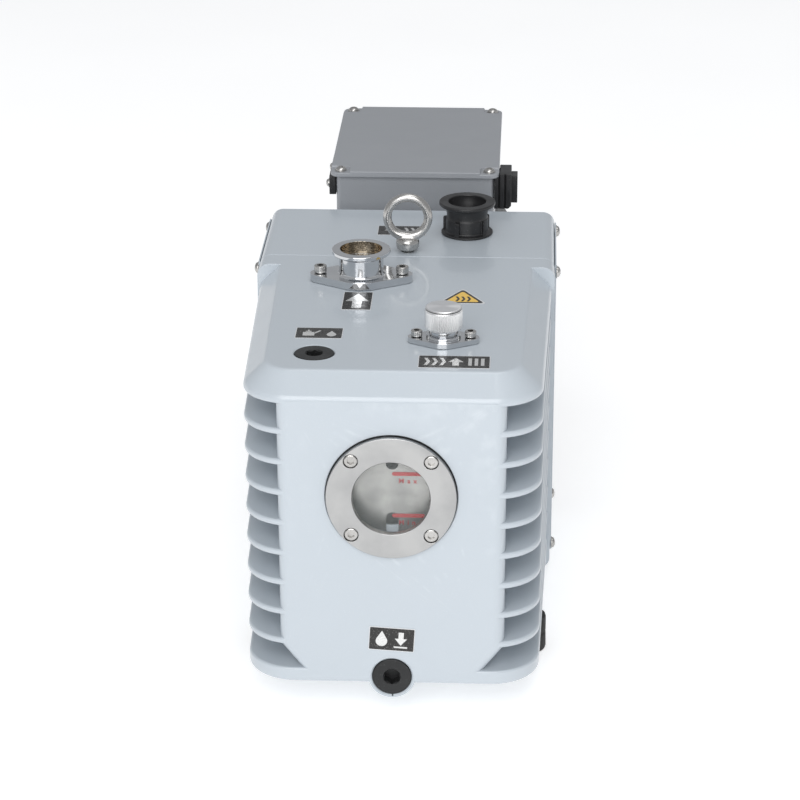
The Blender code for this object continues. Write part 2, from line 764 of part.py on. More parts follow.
def pump_module():
    (front_1, rear_1), (front_2, rear_2) = STAGE_LIMITS
    stage_1, bore_1 = stage_block(front_1, rear_1)
    stage_2, bore_2 = stage_block(front_2, rear_2)
    boss_top = TOP_Z - WALL - 7 * MM
    boss = drum(17 * MM, boss_top - AXIS_Z - 25 * MM, at(INLET_X, INLET_DEPTH, AXIS_Z + 25 * MM))
    feed = drum(9 * MM, 120 * MM, at(INLET_X, INLET_DEPTH, AXIS_Z + 5 * MM), segments=24)
    socket = drum(INLET_SPIGOT_R + GAP, 20 * MM, at(INLET_X, INLET_DEPTH, boss_top - 10 * MM))
    join(stage_1, boss)
    cut(stage_1, bore_1, feed, socket)
    cut(stage_2, bore_2)
    part("high_vacuum_stator", stage_1, "cast_iron")
    part("low_vacuum_stator", stage_2, "cast_iron")
    plates = (
        ("middle_plate", rear_2, front_1, SHAFT_R + GAP),
        ("front_plate", END_PLATE_FRONT, front_2, SHAFT_R - 1 * MM + GAP),
    )
    for name, front, rear, hole in plates:
        outline = arc((0, 0), STATOR_R, 0, 350, 35)
        opening = arc((0, 0), hole, 0, 345, 23)
        length = rear - front - GAP
        part(name, extruded([outline, opening], length, at(0, rear, AXIS_Z), "front"), "cast_iron")
    pump_rotor()
    valve = block(26 * MM, 40 * MM, 4 * MM, at(14 * MM, 185 * MM, AXIS_Z + STATOR_R + GAP))
    part("exhaust_valve", valve, "steel")


def pump_rotor():
    """Both slotted drums on one shaft, and the two vanes of each."""
    (front_1, rear_1), (front_2, rear_2) = STAGE_LIMITS
    side = 2 * GAP
    profile = (
        (0, -(END_PLATE_FRONT + 2 * MM)),
        (SHAFT_R - 1 * MM, -(END_PLATE_FRONT + 2 * MM)),
        (SHAFT_R - 1 * MM, -(front_2 + side)),
        (ROTOR_R, -(front_2 + side)),
        (ROTOR_R, -(rear_2 - side)),
        (SHAFT_R, -(rear_2 - side)),
        (SHAFT_R, -(front_1 + side)),
        (ROTOR_R, -(front_1 + side)),
        (ROTOR_R, -(rear_1 - side)),
        (SHAFT_R, -(rear_1 - side)),
        (SHAFT_R, -(SEAM_DEPTH + 30 * MM)),
        (0, -(SEAM_DEPTH + 30 * MM)),
    )
    rotor = turned(profile, at(0, 0, AXIS_Z), "front", 28)
    floor = ROTOR_R - VANE_DEPTH - 1 * MM
    half = VANE_THICK / 2
    slot_z = (AXIS_Z - half - GAP / 2, AXIS_Z + half + GAP / 2)
    number = 1
    for front, rear in ((front_1 + side, rear_1 - side), (front_2 + side, rear_2 - side)):
        for sign in (1, -1):
            slot_x = sorted((sign * floor, sign * (ROTOR_R + 5 * MM)))
            cut(rotor, block_between(slot_x, (front - 5 * MM, rear + 5 * MM), slot_z))
            vane_x = sorted((sign * (ROTOR_R - VANE_DEPTH - GAP), sign * (ROTOR_R - GAP)))
            vane = block_between(vane_x, (front, rear), (AXIS_Z - half, AXIS_Z + half))
            part(f"vane_{number}", vane, "composite")
            number += 1
    part("pump_rotor", rotor, "steel")


def shaft_coupling():
    """Two claw hubs with an elastic star between their claws."""
    hub_r, bore_claw, thick, claw = 26 * MM, 10 * MM, 12 * MM, 11 * MM
    claws = 3
    hole = SHAFT_R + GAP / 2
    hubs = (
        ("pump_coupling_hub", PUMP_HUB_DEPTH, 1, 0),
        ("motor_coupling_hub", MOTOR_HUB_DEPTH, -1, 60),
    )
    for name, start, sign, offset in hubs:
        facing = "back" if sign > 0 else "front"
        outline = arc((0, 0), hub_r, 0, 345, 23)
        opening = arc((0, 0), hole, 0, 345, 23)
        hub = extruded([outline, opening], thick, at(0, start, AXIS_Z), facing)
        for i in range(claws):
            middle = offset + i * 360 / claws
            if sign > 0:
                middle = -middle
            sector = arc((0, 0), hub_r - 0.5 * MM, middle - 24, middle + 24, 4)
            sector += arc((0, 0), bore_claw, middle + 18, middle - 18, 2)
            root = start + sign * 2 * MM
            join(hub, extruded([sector], thick + claw - 2 * MM, at(0, root, AXIS_Z), facing))
        part(name, hub, "steel")
    star = arc((0, 0), 7 * MM, 0, 330, 11)
    arms = []
    for i in range(2 * claws):
        middle = 30 + i * 60
        arms += arc((0, 0), 24 * MM, middle - 4, middle + 4, 2)
        arms += arc((0, 0), 9.6 * MM, middle + 10, middle + 50, 2)
    end = MOTOR_HUB_DEPTH - thick - GAP
    length = end - (PUMP_HUB_DEPTH + thick + GAP)
    part("coupling_spider", extruded([arms, star], length, at(0, end, AXIS_Z), "front"), "rubber")


def motor():
    front_shield = turned(
        (
            (14 * MM, -(HOUSING_END - 4 * MM)),
            (39 * MM, -(HOUSING_END - 4 * MM)),
            (39 * MM, -(HOUSING_END + GAP)),
            (78 * MM, -(HOUSING_END + GAP)),
            (78 * MM, -(SHIELD_FRONT - GAP)),
            (20 * MM, -(SHIELD_FRONT - GAP)),
            (20 * MM, -(SHIELD_FRONT - 11 * MM)),
            (14 * MM, -(SHIELD_FRONT - 11 * MM)),
        ),
        at(0, 0, AXIS_Z),
        "front",
        28,
        ring=True,
    )
    part("motor_front_shield", front_shield, "box_paint")
    length = SHIELD_REAR - SHIELD_FRONT
    housing = extruded([motor_outline()], length, at(0, SHIELD_REAR, AXIS_Z), "front")
    pad = block_between((-48 * MM, 48 * MM), (372 * MM, 510 * MM), (AXIS_Z + 62 * MM, BOX_LOW - GAP))
    join(housing, pad)
    cut(housing, drum(STACK_R + GAP, 200 * MM, at(0, SHIELD_REAR + 5 * MM, AXIS_Z), "front", 28))
    cut(housing, drum(14 * MM, 30 * MM, at(0, 440 * MM, BOX_LOW - 20 * MM), segments=20))
    part("motor_housing", housing, "box_paint")
    rear_shield = turned(
        (
            (14 * MM, -(SHIELD_REAR + GAP)),
            (72 * MM, -(SHIELD_REAR + GAP)),
            (72 * MM, -(SHIELD_REAR + 9 * MM)),
            (14 * MM, -(SHIELD_REAR + 9 * MM)),
        ),
        at(0, 0, AXIS_Z),
        "front",
        28,
        ring=True,
    )
    part("motor_rear_shield", rear_shield, "box_paint")
    stack = (375 * MM, 480 * MM)
    stator_outline = arc((0, 0), STACK_R - 0.5 * MM, 0, 345, 23)
    stator_bore = arc((0, 0), MOTOR_ROTOR_R + 0.8 * MM, 0, 345, 23)
    length = stack[1] - stack[0]
    stator = extruded([stator_outline, stator_bore], length, at(0, stack[1], AXIS_Z), "front")
    part("motor_stator", stator, "copper")
    rotor_profile = (
        (0, -283 * MM),
        (SHAFT_R, -283 * MM),
        (SHAFT_R, -stack[0]),
        (MOTOR_ROTOR_R, -stack[0]),
        (MOTOR_ROTOR_R, -stack[1]),
        (SHAFT_R, -stack[1]),
        (SHAFT_R, -561 * MM),
        (0, -561 * MM),
    )
    part("motor_rotor", turned(rotor_profile, at(0, 0, AXIS_Z), "front", 32), "steel")
    bearings = (
        ("front_bearing", SHIELD_FRONT - 10.7 * MM, 19.7 * MM),
        ("rear_bearing", SHIELD_REAR - 1 * MM, 13.7 * MM),
    )
    for name, start, outer in bearings:
        inner, wide = SHAFT_R + 0.5 * MM, 10 * MM
        profile = ((outer, 0), (outer, -wide), (inner, -wide), (inner, 0))
        part(name, turned(profile, at(0, start, AXIS_Z), "front", 16, ring=True), "steel")
    motor_fan()
    fan_cowl()


def motor_outline():
    """Round motor body with square-ended cooling fins all round."""
    outline = []
    pitch = 360 / MOTOR_FINS
    for i in range(MOTOR_FINS):
        middle = i * pitch
        outline += arc((0, 0), MOTOR_FIN_R, middle - 0.12 * pitch, middle + 0.12 * pitch, 1)
        outline += arc((0, 0), MOTOR_BODY_R, middle + 0.2 * pitch, middle + 0.8 * pitch, 1)
    return outline


def motor_fan():
    hub = turned(
        ((18 * MM, 0), (18 * MM, -20 * MM), (SHAFT_R + GAP / 2, -20 * MM), (SHAFT_R + GAP / 2, 0)),
        at(0, 538 * MM, AXIS_Z),
        "front",
        24,
        ring=True,
    )
    blades = 7
    for i in range(blades):
        blade = block(48 * MM, 2 * MM, 17 * MM, (0, 0, 0))
        blade.data.transform(Matrix.Translation((41 * MM, 0, 0)))
        blade.location = at(0, 539.5 * MM, AXIS_Z)
        blade.rotation_euler = (-pi / 2, 2 * pi * i / blades, 0)
        join(hub, blade)
    part("motor_fan", hub, "black_plastic")


def fan_cowl():
    end = -MOTOR_END
    wall = COWL_WALL
    profile = (
        (0, end + wall),
        (COWL_R - 8 * MM, end + wall),
        (COWL_R - wall, end + 9 * MM),
        (COWL_R - wall, -COWL_START),
        (COWL_R, -COWL_START),
        (COWL_R, end + 8.5 * MM),
        (COWL_R - 7.5 * MM, end),
        (0, end),
    )
    cowl = turned(profile, at(0, 0, AXIS_Z), "front", 28)
    slots, pitch, slot_half, widest = 5, 18 * MM, 3 * MM, 50 * MM
    through = (MOTOR_END - 5 * MM, MOTOR_END + 5 * MM)
    for i in range(slots):
        step = i - slots // 2
        half = widest - abs(step) * 10 * MM
        z = AXIS_Z + step * pitch
        cut(cowl, block_between((-half, half), through, (z - slot_half, z + slot_half)))
    part("fan_cowl", cowl, "black_plastic")


def terminal_box():
    front, rear = LID_FRONT + BOX_OVERHANG, LID_REAR - BOX_OVERHANG
    high = LID_TOP - LID_THICK - GAP
    outer = rounded_rectangle((-BOX_HALF, BOX_HALF), (front, rear), 4.2 * MM, 3)
    body = extruded([outer], high - BOX_LOW, at(0, 0, BOX_LOW))
    wall = 3 * MM
    inner = rounded_rectangle((wall - BOX_HALF, BOX_HALF - wall), (front + wall, rear - wall), 2 * MM, 2)
    cut(body, extruded([inner], high, at(0, 0, BOX_LOW + wall)))
    for x, depth in lid_screw_places():
        post = drum(3.2 * MM, high - BOX_LOW - 3 * MM, at(x, depth, BOX_LOW + 2 * MM), segments=12)
        join(body, post)
        cut(body, drum(2 * MM, 14 * MM, at(x, depth, high - 12 * MM), segments=8))
    cut(body, drum(14 * MM, 10 * MM, at(0, 440 * MM, BOX_LOW - 2 * MM), segments=20))
    cut(body, block_between(*inlet_hole(0)))
    part("terminal_box", body, "box_paint")
    lid_low = LID_TOP - LID_THICK
    outer = rounded_rectangle((-LID_HALF, LID_HALF), (LID_FRONT, LID_REAR), 7 * MM, 3)
    lid = extruded([outer], LID_THICK, at(0, 0, lid_low))
    for x, depth in lid_screw_places():
        side = 1 if x > 0 else -1
        way = 1 if depth > (front + rear) / 2 else -1
        pad_x = sorted((x - side * LID_PAD, x + side * LID_PAD_REACH))
        pad_depth = sorted((depth - way * LID_PAD, depth + way * LID_PAD_REACH))
        cut(lid, block_between(pad_x, pad_depth, (LID_TOP - LID_PAD_DROP, LID_TOP + 5 * MM)))
        cut(lid, drum(2.3 * MM, 20 * MM, at(x, depth, lid_low - 5 * MM), segments=8))
    part("terminal_box_lid", lid, "box_paint")


def lid_screw_places():
    inset = 7.5 * MM
    depths = (LID_FRONT + inset, LID_REAR - inset)
    return [(side * (LID_HALF - inset), depth) for side in (-1, 1) for depth in depths]


def inlet_hole(inset):
    """Limits of the opening in the box's left wall that the power inlet fills."""
    x = (-BOX_HALF - 5 * MM, -BOX_HALF + 8 * MM)
    inset_z = inset + 1 * MM
    depth = (INLET_HOLE[0] + inset, INLET_HOLE[1] - inset)
    return x, depth, (INLET_LOW + inset_z, INLET_HIGH - inset_z)


def electrics():
    """Power inlet on the box's left side, and the switch with its button on the right."""
    wall = BOX_HALF + GAP
    inlet = block_between((-wall - 5 * MM, -wall), INLET_PLATE, (INLET_LOW, INLET_HIGH))
    inside = -wall + INLET_DEEP
    x, depth, z = inlet_hole(2 * GAP)
    join(inlet, block_between((-wall - 2 * MM, inside), depth, z))
    x, depth, z = inlet_hole(2 * MM)
    socket = block_between((-wall - 6 * MM, inside - 2 * MM), depth, z)
    part("power_inlet", cut(inlet, socket), "black_plastic")
    low, high = SWITCH_Z
    outline = [
        (wall, low),
        (SWITCH_OUT, low),
        (SWITCH_OUT, high),
        (LID_HALF + GAP, high),
        (LID_HALF + GAP, INLET_HIGH),
        (wall, INLET_HIGH),
    ]
    length = SWITCH_DEPTH[1] - SWITCH_DEPTH[0]
    body = extruded([outline], length, at(0, SWITCH_DEPTH[1], 0), "front")
    recess = block_between((67 * MM, 75 * MM), (366.7 * MM, 379.3 * MM), (234.7 * MM, 256.3 * MM))
    part("power_switch_body", cut(body, recess), "black_plastic")
    button = block_between((70 * MM, 76 * MM), (367 * MM, 379 * MM), (235 * MM, 256 * MM))
    bevel = button.modifiers.new("edges", "BEVEL")
    bevel.width = 1 * MM
    bevel.segments = 2
    part("power_button", button, "black_plastic")


def feet():
    top = BASE_Z - GAP
    for place, x, depth in (
        ("front", FRONT_FOOT_X, FRONT_FOOT_DEPTH),
        ("rear", REAR_FOOT_X, REAR_FOOT_DEPTH),
    ):
        for side, sign in (("left", -1), ("right", 1)):
            profile = (
                (0, top),
                (FOOT_R - 2 * MM, top),
                (FOOT_R, top - 2 * MM),
                (FOOT_R, 1.5 * MM),
                (FOOT_R - 1.5 * MM, 0),
                (0, 0),
            )
            foot = turned(profile, at(sign * x, depth, 0), "up", 16)
            part(f"{place}_foot_{side}", foot, "rubber")
    half = REAR_FOOT_X + 14 * MM
    low, high = BASE_Z, BASE_Z + FOOT_BAR_THICK
    top = AXIS_Z - MOTOR_FIN_R - GAP
    outline = [(-half, low), (half, low), (half, high), (34 * MM, high + 6 * MM), (30 * MM, top)]
    outline += [(-30 * MM, top), (-34 * MM, high + 6 * MM), (-half, high)]
    bar = extruded([outline], 40 * MM, at(0, REAR_FOOT_DEPTH + 20 * MM, 0), "front")
    saddle = drum(MOTOR_FIN_R + GAP, 60 * MM, at(0, REAR_FOOT_DEPTH + 30 * MM, AXIS_Z), "front", 48)
    part("motor_foot", cut(bar, saddle), "box_paint")


def main():
    oil_casing()
    sight_glass()
    threaded_plug("oil_fill", at(FILL_X, FILL_DEPTH, TOP_Z), "up")
    threaded_plug("oil_drain", at(0, 0, DRAIN_Z), "front")
    inlet_port()
    gas_ballast()
    exhaust_port()
    eye_bolt()
    coupling_housing()
    side_guard("side_guard_left", -1)
    side_guard("side_guard_right", 1)
    pump_module()
    shaft_coupling()
    motor()
    terminal_box()
    electrics()
    feet()


main()
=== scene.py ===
"""Looks of the rotary vane vacuum pump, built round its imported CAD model.

Everything is in metres in the CAD frame: the ground is Z = 0, the front faces -Y, and +X is
to the viewer's right. Depths are measured back from the front face of the oil casing.
"""

import json
from math import cos, pi, radians, sin, sqrt, tan

import bmesh
import bpy
from mathutils import Matrix, Vector

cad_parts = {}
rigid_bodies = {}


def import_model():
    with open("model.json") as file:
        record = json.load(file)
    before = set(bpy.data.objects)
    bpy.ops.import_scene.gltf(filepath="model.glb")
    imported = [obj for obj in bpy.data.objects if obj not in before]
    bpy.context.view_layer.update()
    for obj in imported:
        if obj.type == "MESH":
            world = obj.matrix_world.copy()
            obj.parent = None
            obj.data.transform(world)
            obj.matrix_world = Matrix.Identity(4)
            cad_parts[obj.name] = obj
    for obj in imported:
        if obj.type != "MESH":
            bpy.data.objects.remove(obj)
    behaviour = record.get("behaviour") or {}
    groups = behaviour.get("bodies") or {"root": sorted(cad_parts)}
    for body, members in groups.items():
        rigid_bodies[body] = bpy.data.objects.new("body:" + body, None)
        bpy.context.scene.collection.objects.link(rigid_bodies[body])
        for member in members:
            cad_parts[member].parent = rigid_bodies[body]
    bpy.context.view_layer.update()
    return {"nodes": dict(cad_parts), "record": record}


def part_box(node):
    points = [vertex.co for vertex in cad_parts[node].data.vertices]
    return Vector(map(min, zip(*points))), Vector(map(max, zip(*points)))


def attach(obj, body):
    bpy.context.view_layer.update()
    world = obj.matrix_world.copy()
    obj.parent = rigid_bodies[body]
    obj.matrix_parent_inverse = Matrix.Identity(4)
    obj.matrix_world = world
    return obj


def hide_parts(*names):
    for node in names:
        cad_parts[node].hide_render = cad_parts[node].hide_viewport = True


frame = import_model()

MM = 0.001
GAP = 0.3 * MM  # clearance between pieces that touch

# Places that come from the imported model
CASING_LOW, CASING_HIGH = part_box("oil_casing")
LID_LOW, LID_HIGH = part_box("terminal_box_lid")
BOX_LOW, BOX_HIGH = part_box("terminal_box")
FRONT_Y = CASING_LOW.y
TOP_Z = CASING_HIGH.z
AXIS_Z = sum(corner.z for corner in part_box("pump_rotor")) / 2


def middle_of(node):
    low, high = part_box(node)
    return (low + high) / 2


# Oil casing
BASE_Z = 25.6 * MM
CHAMFER = 14.4 * MM
FACE_HALF = 64 * MM
CORNER_R = 32 * MM
SIDE_HALF_REAR = 101.5 * MM
FLANGE_DEPTH = 209 * MM
SEAM_DEPTH = 228 * MM
FLANGE_HALF = 103.5 * MM
FLANGE_BASE_Z = 10 * MM
FLANGE_EDGE_R = 8.5 * MM
WALL = 6 * MM
FRONT_WALL = 12 * MM  # thick enough to close the front behind its chamfer
CAVITY_HALF = 67 * MM
FIN_EDGE_R = 1.6 * MM
BASE_EDGE_R = 3.5 * MM
FLANGE_ROUNDING = 0.5 * MM
CHAMFER_LOW_R = 6 * MM  # blends of the chamfer into the sides and the deck
CHAMFER_TOP_R = 4 * MM

# Cooling fins: recesses cut in from both sides
RECESSES = 9
FIN = 4.2 * MM
FLOOR_PLATE_Z = 36 * MM
RECESS_INNER = 73 * MM
RECESS_EDGE_R = 7 * MM
RECESS_END = 205 * MM
FLARE = 13 * MM

# Sight glass
SIGHT = middle_of("sight_glass_ring")
SIGHT_Z = SIGHT.z
RING_PROUD = 3.5 * MM
RING_R = 41.8 * MM
WINDOW_R = 25 * MM
RING_BACK = 1 * MM
GASKET_THICK = 0.7 * MM
SEAT_DEPTH = RING_BACK + GASKET_THICK + 2 * GAP
GLASS_R = 30 * MM
GLASS_THICK = 5.4 * MM
PLATE_DEPTH = 12 * MM
SIGHT_SCREW_PCR = 36.2 * MM

# Threaded plugs
PLUG_R = 12.75 * MM
PLUG_HEAD = 4 * MM
PLUG_THREAD_R = 10.2 * MM
PLUG_LENGTH = 12 * MM
PLUG_HEX = 10 * MM
THREAD_PITCH = 1.814 * MM
FILL = middle_of("oil_fill_plug")
DRAIN = middle_of("oil_drain_plug")
DRAIN_BOSS_R = 15.5 * MM

# Fittings on the top
INLET = middle_of("inlet_port")
INLET_HEIGHT = 23.1 * MM
INLET_BASE = 5.4 * MM
INLET_SPIGOT_R = 12.8 * MM
INLET_BORE_R = 14.4 * MM
KF_R = 20 * MM
EXHAUST = middle_of("exhaust_port")
EXHAUST_HEIGHT = 23.7 * MM
BALLAST = middle_of("ballast_knob")
BALLAST_PLATE = 3.6 * MM
KNOB_R = 12.2 * MM
KNOB_LOW, KNOB_HIGH = 9.9 * MM, 24.5 * MM
EYE = middle_of("eye_bolt")

# Coupling housing and its guards
HOUSING_END = 329 * MM
GUARD_SCREW_DEPTHS = (234 * MM, 321 * MM)
GUARD_SCREW_HEIGHTS = (19.3 * MM, 229 * MM)

# Terminal box
BOX_HALF = 58.5 * MM
LID_HALF = 62.5 * MM
LID_TOP = LID_HIGH.z
LID_THICK = 4.6 * MM
LID_PAD_DROP = 1.4 * MM
LID_SCREW_INSET = 7.5 * MM
BOX_WALL = 3 * MM

# Power inlet in the left wall of the terminal box
SOCKET_DEPTH = (373 * MM, 401 * MM)
SOCKET_Z = (242 * MM, 254.8 * MM)
SOCKET_MIDDLE = 387 * MM
SOCKET_SCREW_REACH = 19.4 * MM
SOCKET_SCREW_Z = 248.8 * MM
SOCKET_WALL = 2 * MM

# Studio
FLOOR_REACH = 9.0
CAMERA_PLACE = (0.08353, -1.93076, 0.90621)
CAMERA_TURN = (2.72, 22.51, -0.13)  # degrees of yaw, pitch and roll
CAMERA_LENS = 127.36

TURN = {
    "up": (0, 0, 0),
    "down": (pi, 0, 0),
    "front": (pi / 2, 0, 0),
    "back": (-pi / 2, 0, 0),
    "right": (0, pi / 2, 0),
    "left": (0, -pi / 2, 0),
}


def depth_of(y):
    return y - FRONT_Y


INLET_X, INLET_DEPTH = INLET.x, depth_of(INLET.y)
BALLAST_X, BALLAST_DEPTH = BALLAST.x, depth_of(BALLAST.y)
EXHAUST_X, EXHAUST_DEPTH = EXHAUST.x, depth_of(EXHAUST.y)
FILL_X, FILL_DEPTH = FILL.x, depth_of(FILL.y)
EYE_DEPTH = depth_of(EYE.y)
LID_FRONT, LID_REAR = depth_of(LID_LOW.y), depth_of(LID_HIGH.y)


# ---------------------------------------------------------------- materials


class Finish:
    """One procedural material: a Principled shader and the nodes that feed it."""

    def __init__(self, name, metallic=0.0, **sockets):
        self.material = bpy.data.materials.new(name)
        self.material.use_nodes = True
        self.tree = self.material.node_tree
        self.shader = self.tree.nodes["Principled BSDF"]
        self.shader.inputs["Metallic"].default_value = metallic
        for socket, value in sockets.items():
            self.shader.inputs[socket.replace("_", " ")].default_value = value
        self.place = self.node("ShaderNodeTexCoord").outputs["Object"]

    def node(self, kind, **settings):
        made = self.tree.nodes.new(kind)
        for name, value in settings.items():
            setattr(made, name, value)
        return made

    def link(self, output, node, socket):
        self.tree.links.new(output, node.inputs[socket])

    def noise(self, scale, detail=3.0, stretch=(1, 1, 1), where=None):
        made = self.node("ShaderNodeTexNoise")
        made.inputs["Scale"].default_value = scale
        made.inputs["Detail"].default_value = detail
        mapping = self.node("ShaderNodeMapping")
        mapping.inputs["Scale"].default_value = stretch
        self.link(where or self.place, mapping, "Vector")
        self.link(mapping.outputs["Vector"], made, "Vector")
        return made.outputs["Fac"]

    def spread(self, value, low, high, start=0.35, end=0.65):
        made = self.node("ShaderNodeMapRange")
        self.link(value, made, "Value")
        made.inputs["From Min"].default_value = start
        made.inputs["From Max"].default_value = end
        made.inputs["To Min"].default_value = low
        made.inputs["To Max"].default_value = high
        return made.outputs["Result"]

    def blend(self, share, first, second):
        """Mixes two colours; either may be a colour or another node's output."""
        made = self.node("ShaderNodeMix", data_type="RGBA")
        self.link(share, made, 0)
        for index, colour in ((6, first), (7, second)):
            if isinstance(colour, tuple):
                made.inputs[index].default_value = (*colour, 1)
            else:
                self.tree.links.new(colour, made.inputs[index])
        return made.outputs[2]

    def colour(self, output):
        self.link(output, self.shader, "Base Color")

    def roughness(self, output):
        self.link(output, self.shader, "Roughness")

    def bump(self, height, depth, strength=1.0, under=None):
        made = self.node("ShaderNodeBump")
        made.inputs["Strength"].default_value = strength
        made.inputs["Distance"].default_value = depth
        self.link(height, made, "Height")
        if under is not None:
            self.link(under, made, "Normal")
        self.link(made.outputs["Normal"], self.shader, "Normal")
        return made.outputs["Normal"]

    def radius_from(self, centre, axis):
        """Distance from an axis through a point, for marks left by turning."""
        offset = self.node("ShaderNodeVectorMath", operation="SUBTRACT")
        self.link(self.place, offset, 0)
        offset.inputs[1].default_value = centre
        flat = self.node("ShaderNodeVectorMath", operation="MULTIPLY")
        self.link(offset.outputs[0], flat, 0)
        flat.inputs[1].default_value = tuple(0 if i == axis else 1 for i in range(3))
        length = self.node("ShaderNodeVectorMath", operation="LENGTH")
        self.link(flat.outputs[0], length, 0)
        return length.outputs["Value"]


def edge_wear(finish, amount):
    """How far convex edges are rubbed, broken up by noise."""
    geometry = finish.node("ShaderNodeNewGeometry")
    edges = finish.spread(geometry.outputs["Pointiness"], 0.0, amount, 0.53, 0.66)
    patches = finish.spread(finish.noise(90, 5), 0.0, 1.0, 0.5, 0.7)
    both = finish.node("ShaderNodeMath", operation="MULTIPLY")
    finish.link(edges, both, 0)
    finish.link(patches, both, 1)
    return both.outputs[0]


def paint(name, tones, worn, roughness, ripple, speck, **sockets):
    """Sprayed paint: soft tone shifts, rippled film, fine specks and lightly rubbed edges."""
    made = Finish(name, **sockets)
    base = made.blend(made.spread(made.noise(9, 4), 0, 1, 0.15, 0.85), *tones)
    dusty = made.blend(made.spread(made.noise(1400, 1), 0, 0.25, 0.68, 0.78), base, worn)
    made.colour(made.blend(edge_wear(made, 0.3), dusty, worn))
    made.roughness(made.spread(made.noise(45, 6), *roughness, 0.1, 0.9))
    film = made.bump(made.noise(420, 2), ripple, 0.35)
    made.bump(made.noise(2600, 2), speck, 0.3, film)
    return made.material


def moulded(name, tones, roughness, grain, grain_depth, **sockets):
    """Moulded plastic or rubber with a fine grain, finger marks and dust."""
    made = Finish(name, **sockets)
    base = made.blend(made.spread(made.noise(30, 5), 0, 1), *tones)
    dust = tuple(min(1.0, 6 * tone + 0.05) for tone in tones[1])
    made.colour(made.blend(made.spread(made.noise(700, 3), 0, 0.35, 0.62, 0.8), base, dust))
    made.roughness(made.spread(made.noise(70, 5), *roughness))
    made.bump(made.noise(grain, 3), grain_depth, 0.5)
    return made.material


def metal(name, tones, roughness, scratch, stretch, depth, **sockets):
    """Bare metal with drawn-out scratches, stains and an uneven shine."""
    made = Finish(name, metallic=1.0, **sockets)
    streaks = made.noise(scratch, 4, stretch)
    stains = made.spread(made.noise(55, 6), 0, 1)
    made.colour(made.blend(stains, *tones))
    made.roughness(made.spread(streaks, *roughness))
    made.bump(streaks, depth, 0.4)
    return made.material


def turned_metal(name, tones, roughness, centre, axis, depth, **sockets):
    """Metal faced on a lathe: fine circular marks round an axis."""
    made = Finish(name, metallic=1.0, **sockets)
    radius = made.radius_from(centre, axis)
    rings = made.node("ShaderNodeTexNoise", noise_dimensions="1D")
    rings.inputs["Scale"].default_value = 5200
    rings.inputs["Detail"].default_value = 3
    made.link(radius, rings, "W")
    cloud = made.noise(38, 5)
    made.colour(made.blend(made.spread(cloud, 0, 1), *tones))
    mixed = made.node("ShaderNodeMath", operation="MULTIPLY_ADD")
    made.link(rings.outputs["Fac"], mixed, 0)
    mixed.inputs[1].default_value = 0.6
    made.link(cloud, mixed, 2)
    made.roughness(made.spread(mixed.outputs[0], *roughness, 0.6, 1.0))
    made.bump(rings.outputs["Fac"], depth, 0.4)
    return made.material


def clear_glass():
    made = Finish("sight_window_glass", Alpha=0.06, Roughness=0.03, IOR=1.5)
    made.shader.inputs["Coat Weight"].default_value = 0.5
    made.shader.inputs["Coat Roughness"].default_value = 0.02
    tint = made.blend(made.spread(made.noise(20, 3), 0, 1), (0.80, 0.86, 0.85), (0.88, 0.92, 0.9))
    film = made.blend(made.spread(made.noise(160, 6), 0, 0.6, 0.55, 0.8), tint, (0.7, 0.68, 0.62))
    made.colour(film)
    made.roughness(made.spread(made.noise(90, 5), 0.02, 0.09))
    made.bump(made.noise(35, 2), 0.02 * MM, 0.2)
    return made.material


def printed(name, tones, roughness, metallic=0.0):
    """Label film: worn print with tiny scratches."""
    made = Finish(name, metallic=metallic)
    worn = made.spread(made.noise(900, 5), 0, 0.8, 0.58, 0.72)
    made.colour(made.blend(worn, *tones))
    made.roughness(made.spread(made.noise(240, 4), *roughness))
    made.bump(made.noise(1500, 3), 0.03 * MM, 0.5)
    return made.material


CASING = paint(
    "casing_gloss_paint",
    ((0.455, 0.500, 0.540), (0.475, 0.520, 0.562)),
    (0.66, 0.70, 0.73),
    (0.26, 0.36),
    0.10 * MM,
    0.02 * MM,
    Coat_Weight=0.4,
    Coat_Roughness=0.08,
)
GREY = paint(
    "box_satin_paint",
    ((0.275, 0.288, 0.308), (0.297, 0.310, 0.330)),
    (0.45, 0.47, 0.49),
    (0.34, 0.46),
    0.06 * MM,
    0.05 * MM,
    Coat_Weight=0.15,
    Coat_Roughness=0.25,
)
PLASTIC = moulded(
    "black_moulded_plastic", ((0.010, 0.010, 0.011), (0.016, 0.016, 0.017)), (0.34, 0.48), 1900, 0.04 * MM
)
OXIDE = moulded(
    "black_oxide_steel", ((0.012, 0.0125, 0.013), (0.018, 0.0185, 0.019)), (0.36, 0.48), 1500, 0.02 * MM,
    Specular_IOR_Level=0.4,
)
RUBBER = moulded(
    "black_rubber", ((0.012, 0.012, 0.012), (0.019, 0.018, 0.018)), (0.65, 0.82), 1300, 0.06 * MM
)
STAINLESS = metal(
    "stainless_steel", ((0.44, 0.43, 0.415), (0.54, 0.53, 0.515)), (0.20, 0.30), 260, (1, 1, 4), 0.005 * MM
)
CHROME = metal(
    "polished_chrome", ((0.56, 0.57, 0.59), (0.64, 0.65, 0.66)), (0.05, 0.12), 160, (1, 1, 3), 0.008 * MM
)
# Plated bore metal; its warm brown tint is a painted reflection, not the metal's own colour.
BORE_METAL_WITH_PAINTED_REFLECTION = metal(
    "nickel_bore_painted_warm_reflection", ((0.42, 0.35, 0.26), (0.60, 0.53, 0.43)), (0.14, 0.26), 500, (1, 1, 8), 0.02 * MM
)
RING_STEEL = turned_metal(
    "faced_ring_steel", ((0.38, 0.38, 0.38), (0.47, 0.47, 0.465)), (0.28, 0.42), tuple(SIGHT), 1, 0.012 * MM
)
PLATE_STEEL = metal(
    "level_plate_steel", ((0.27, 0.27, 0.26), (0.42, 0.415, 0.40)), (0.30, 0.46), 60, (1, 1, 1.4), 0.05 * MM
)
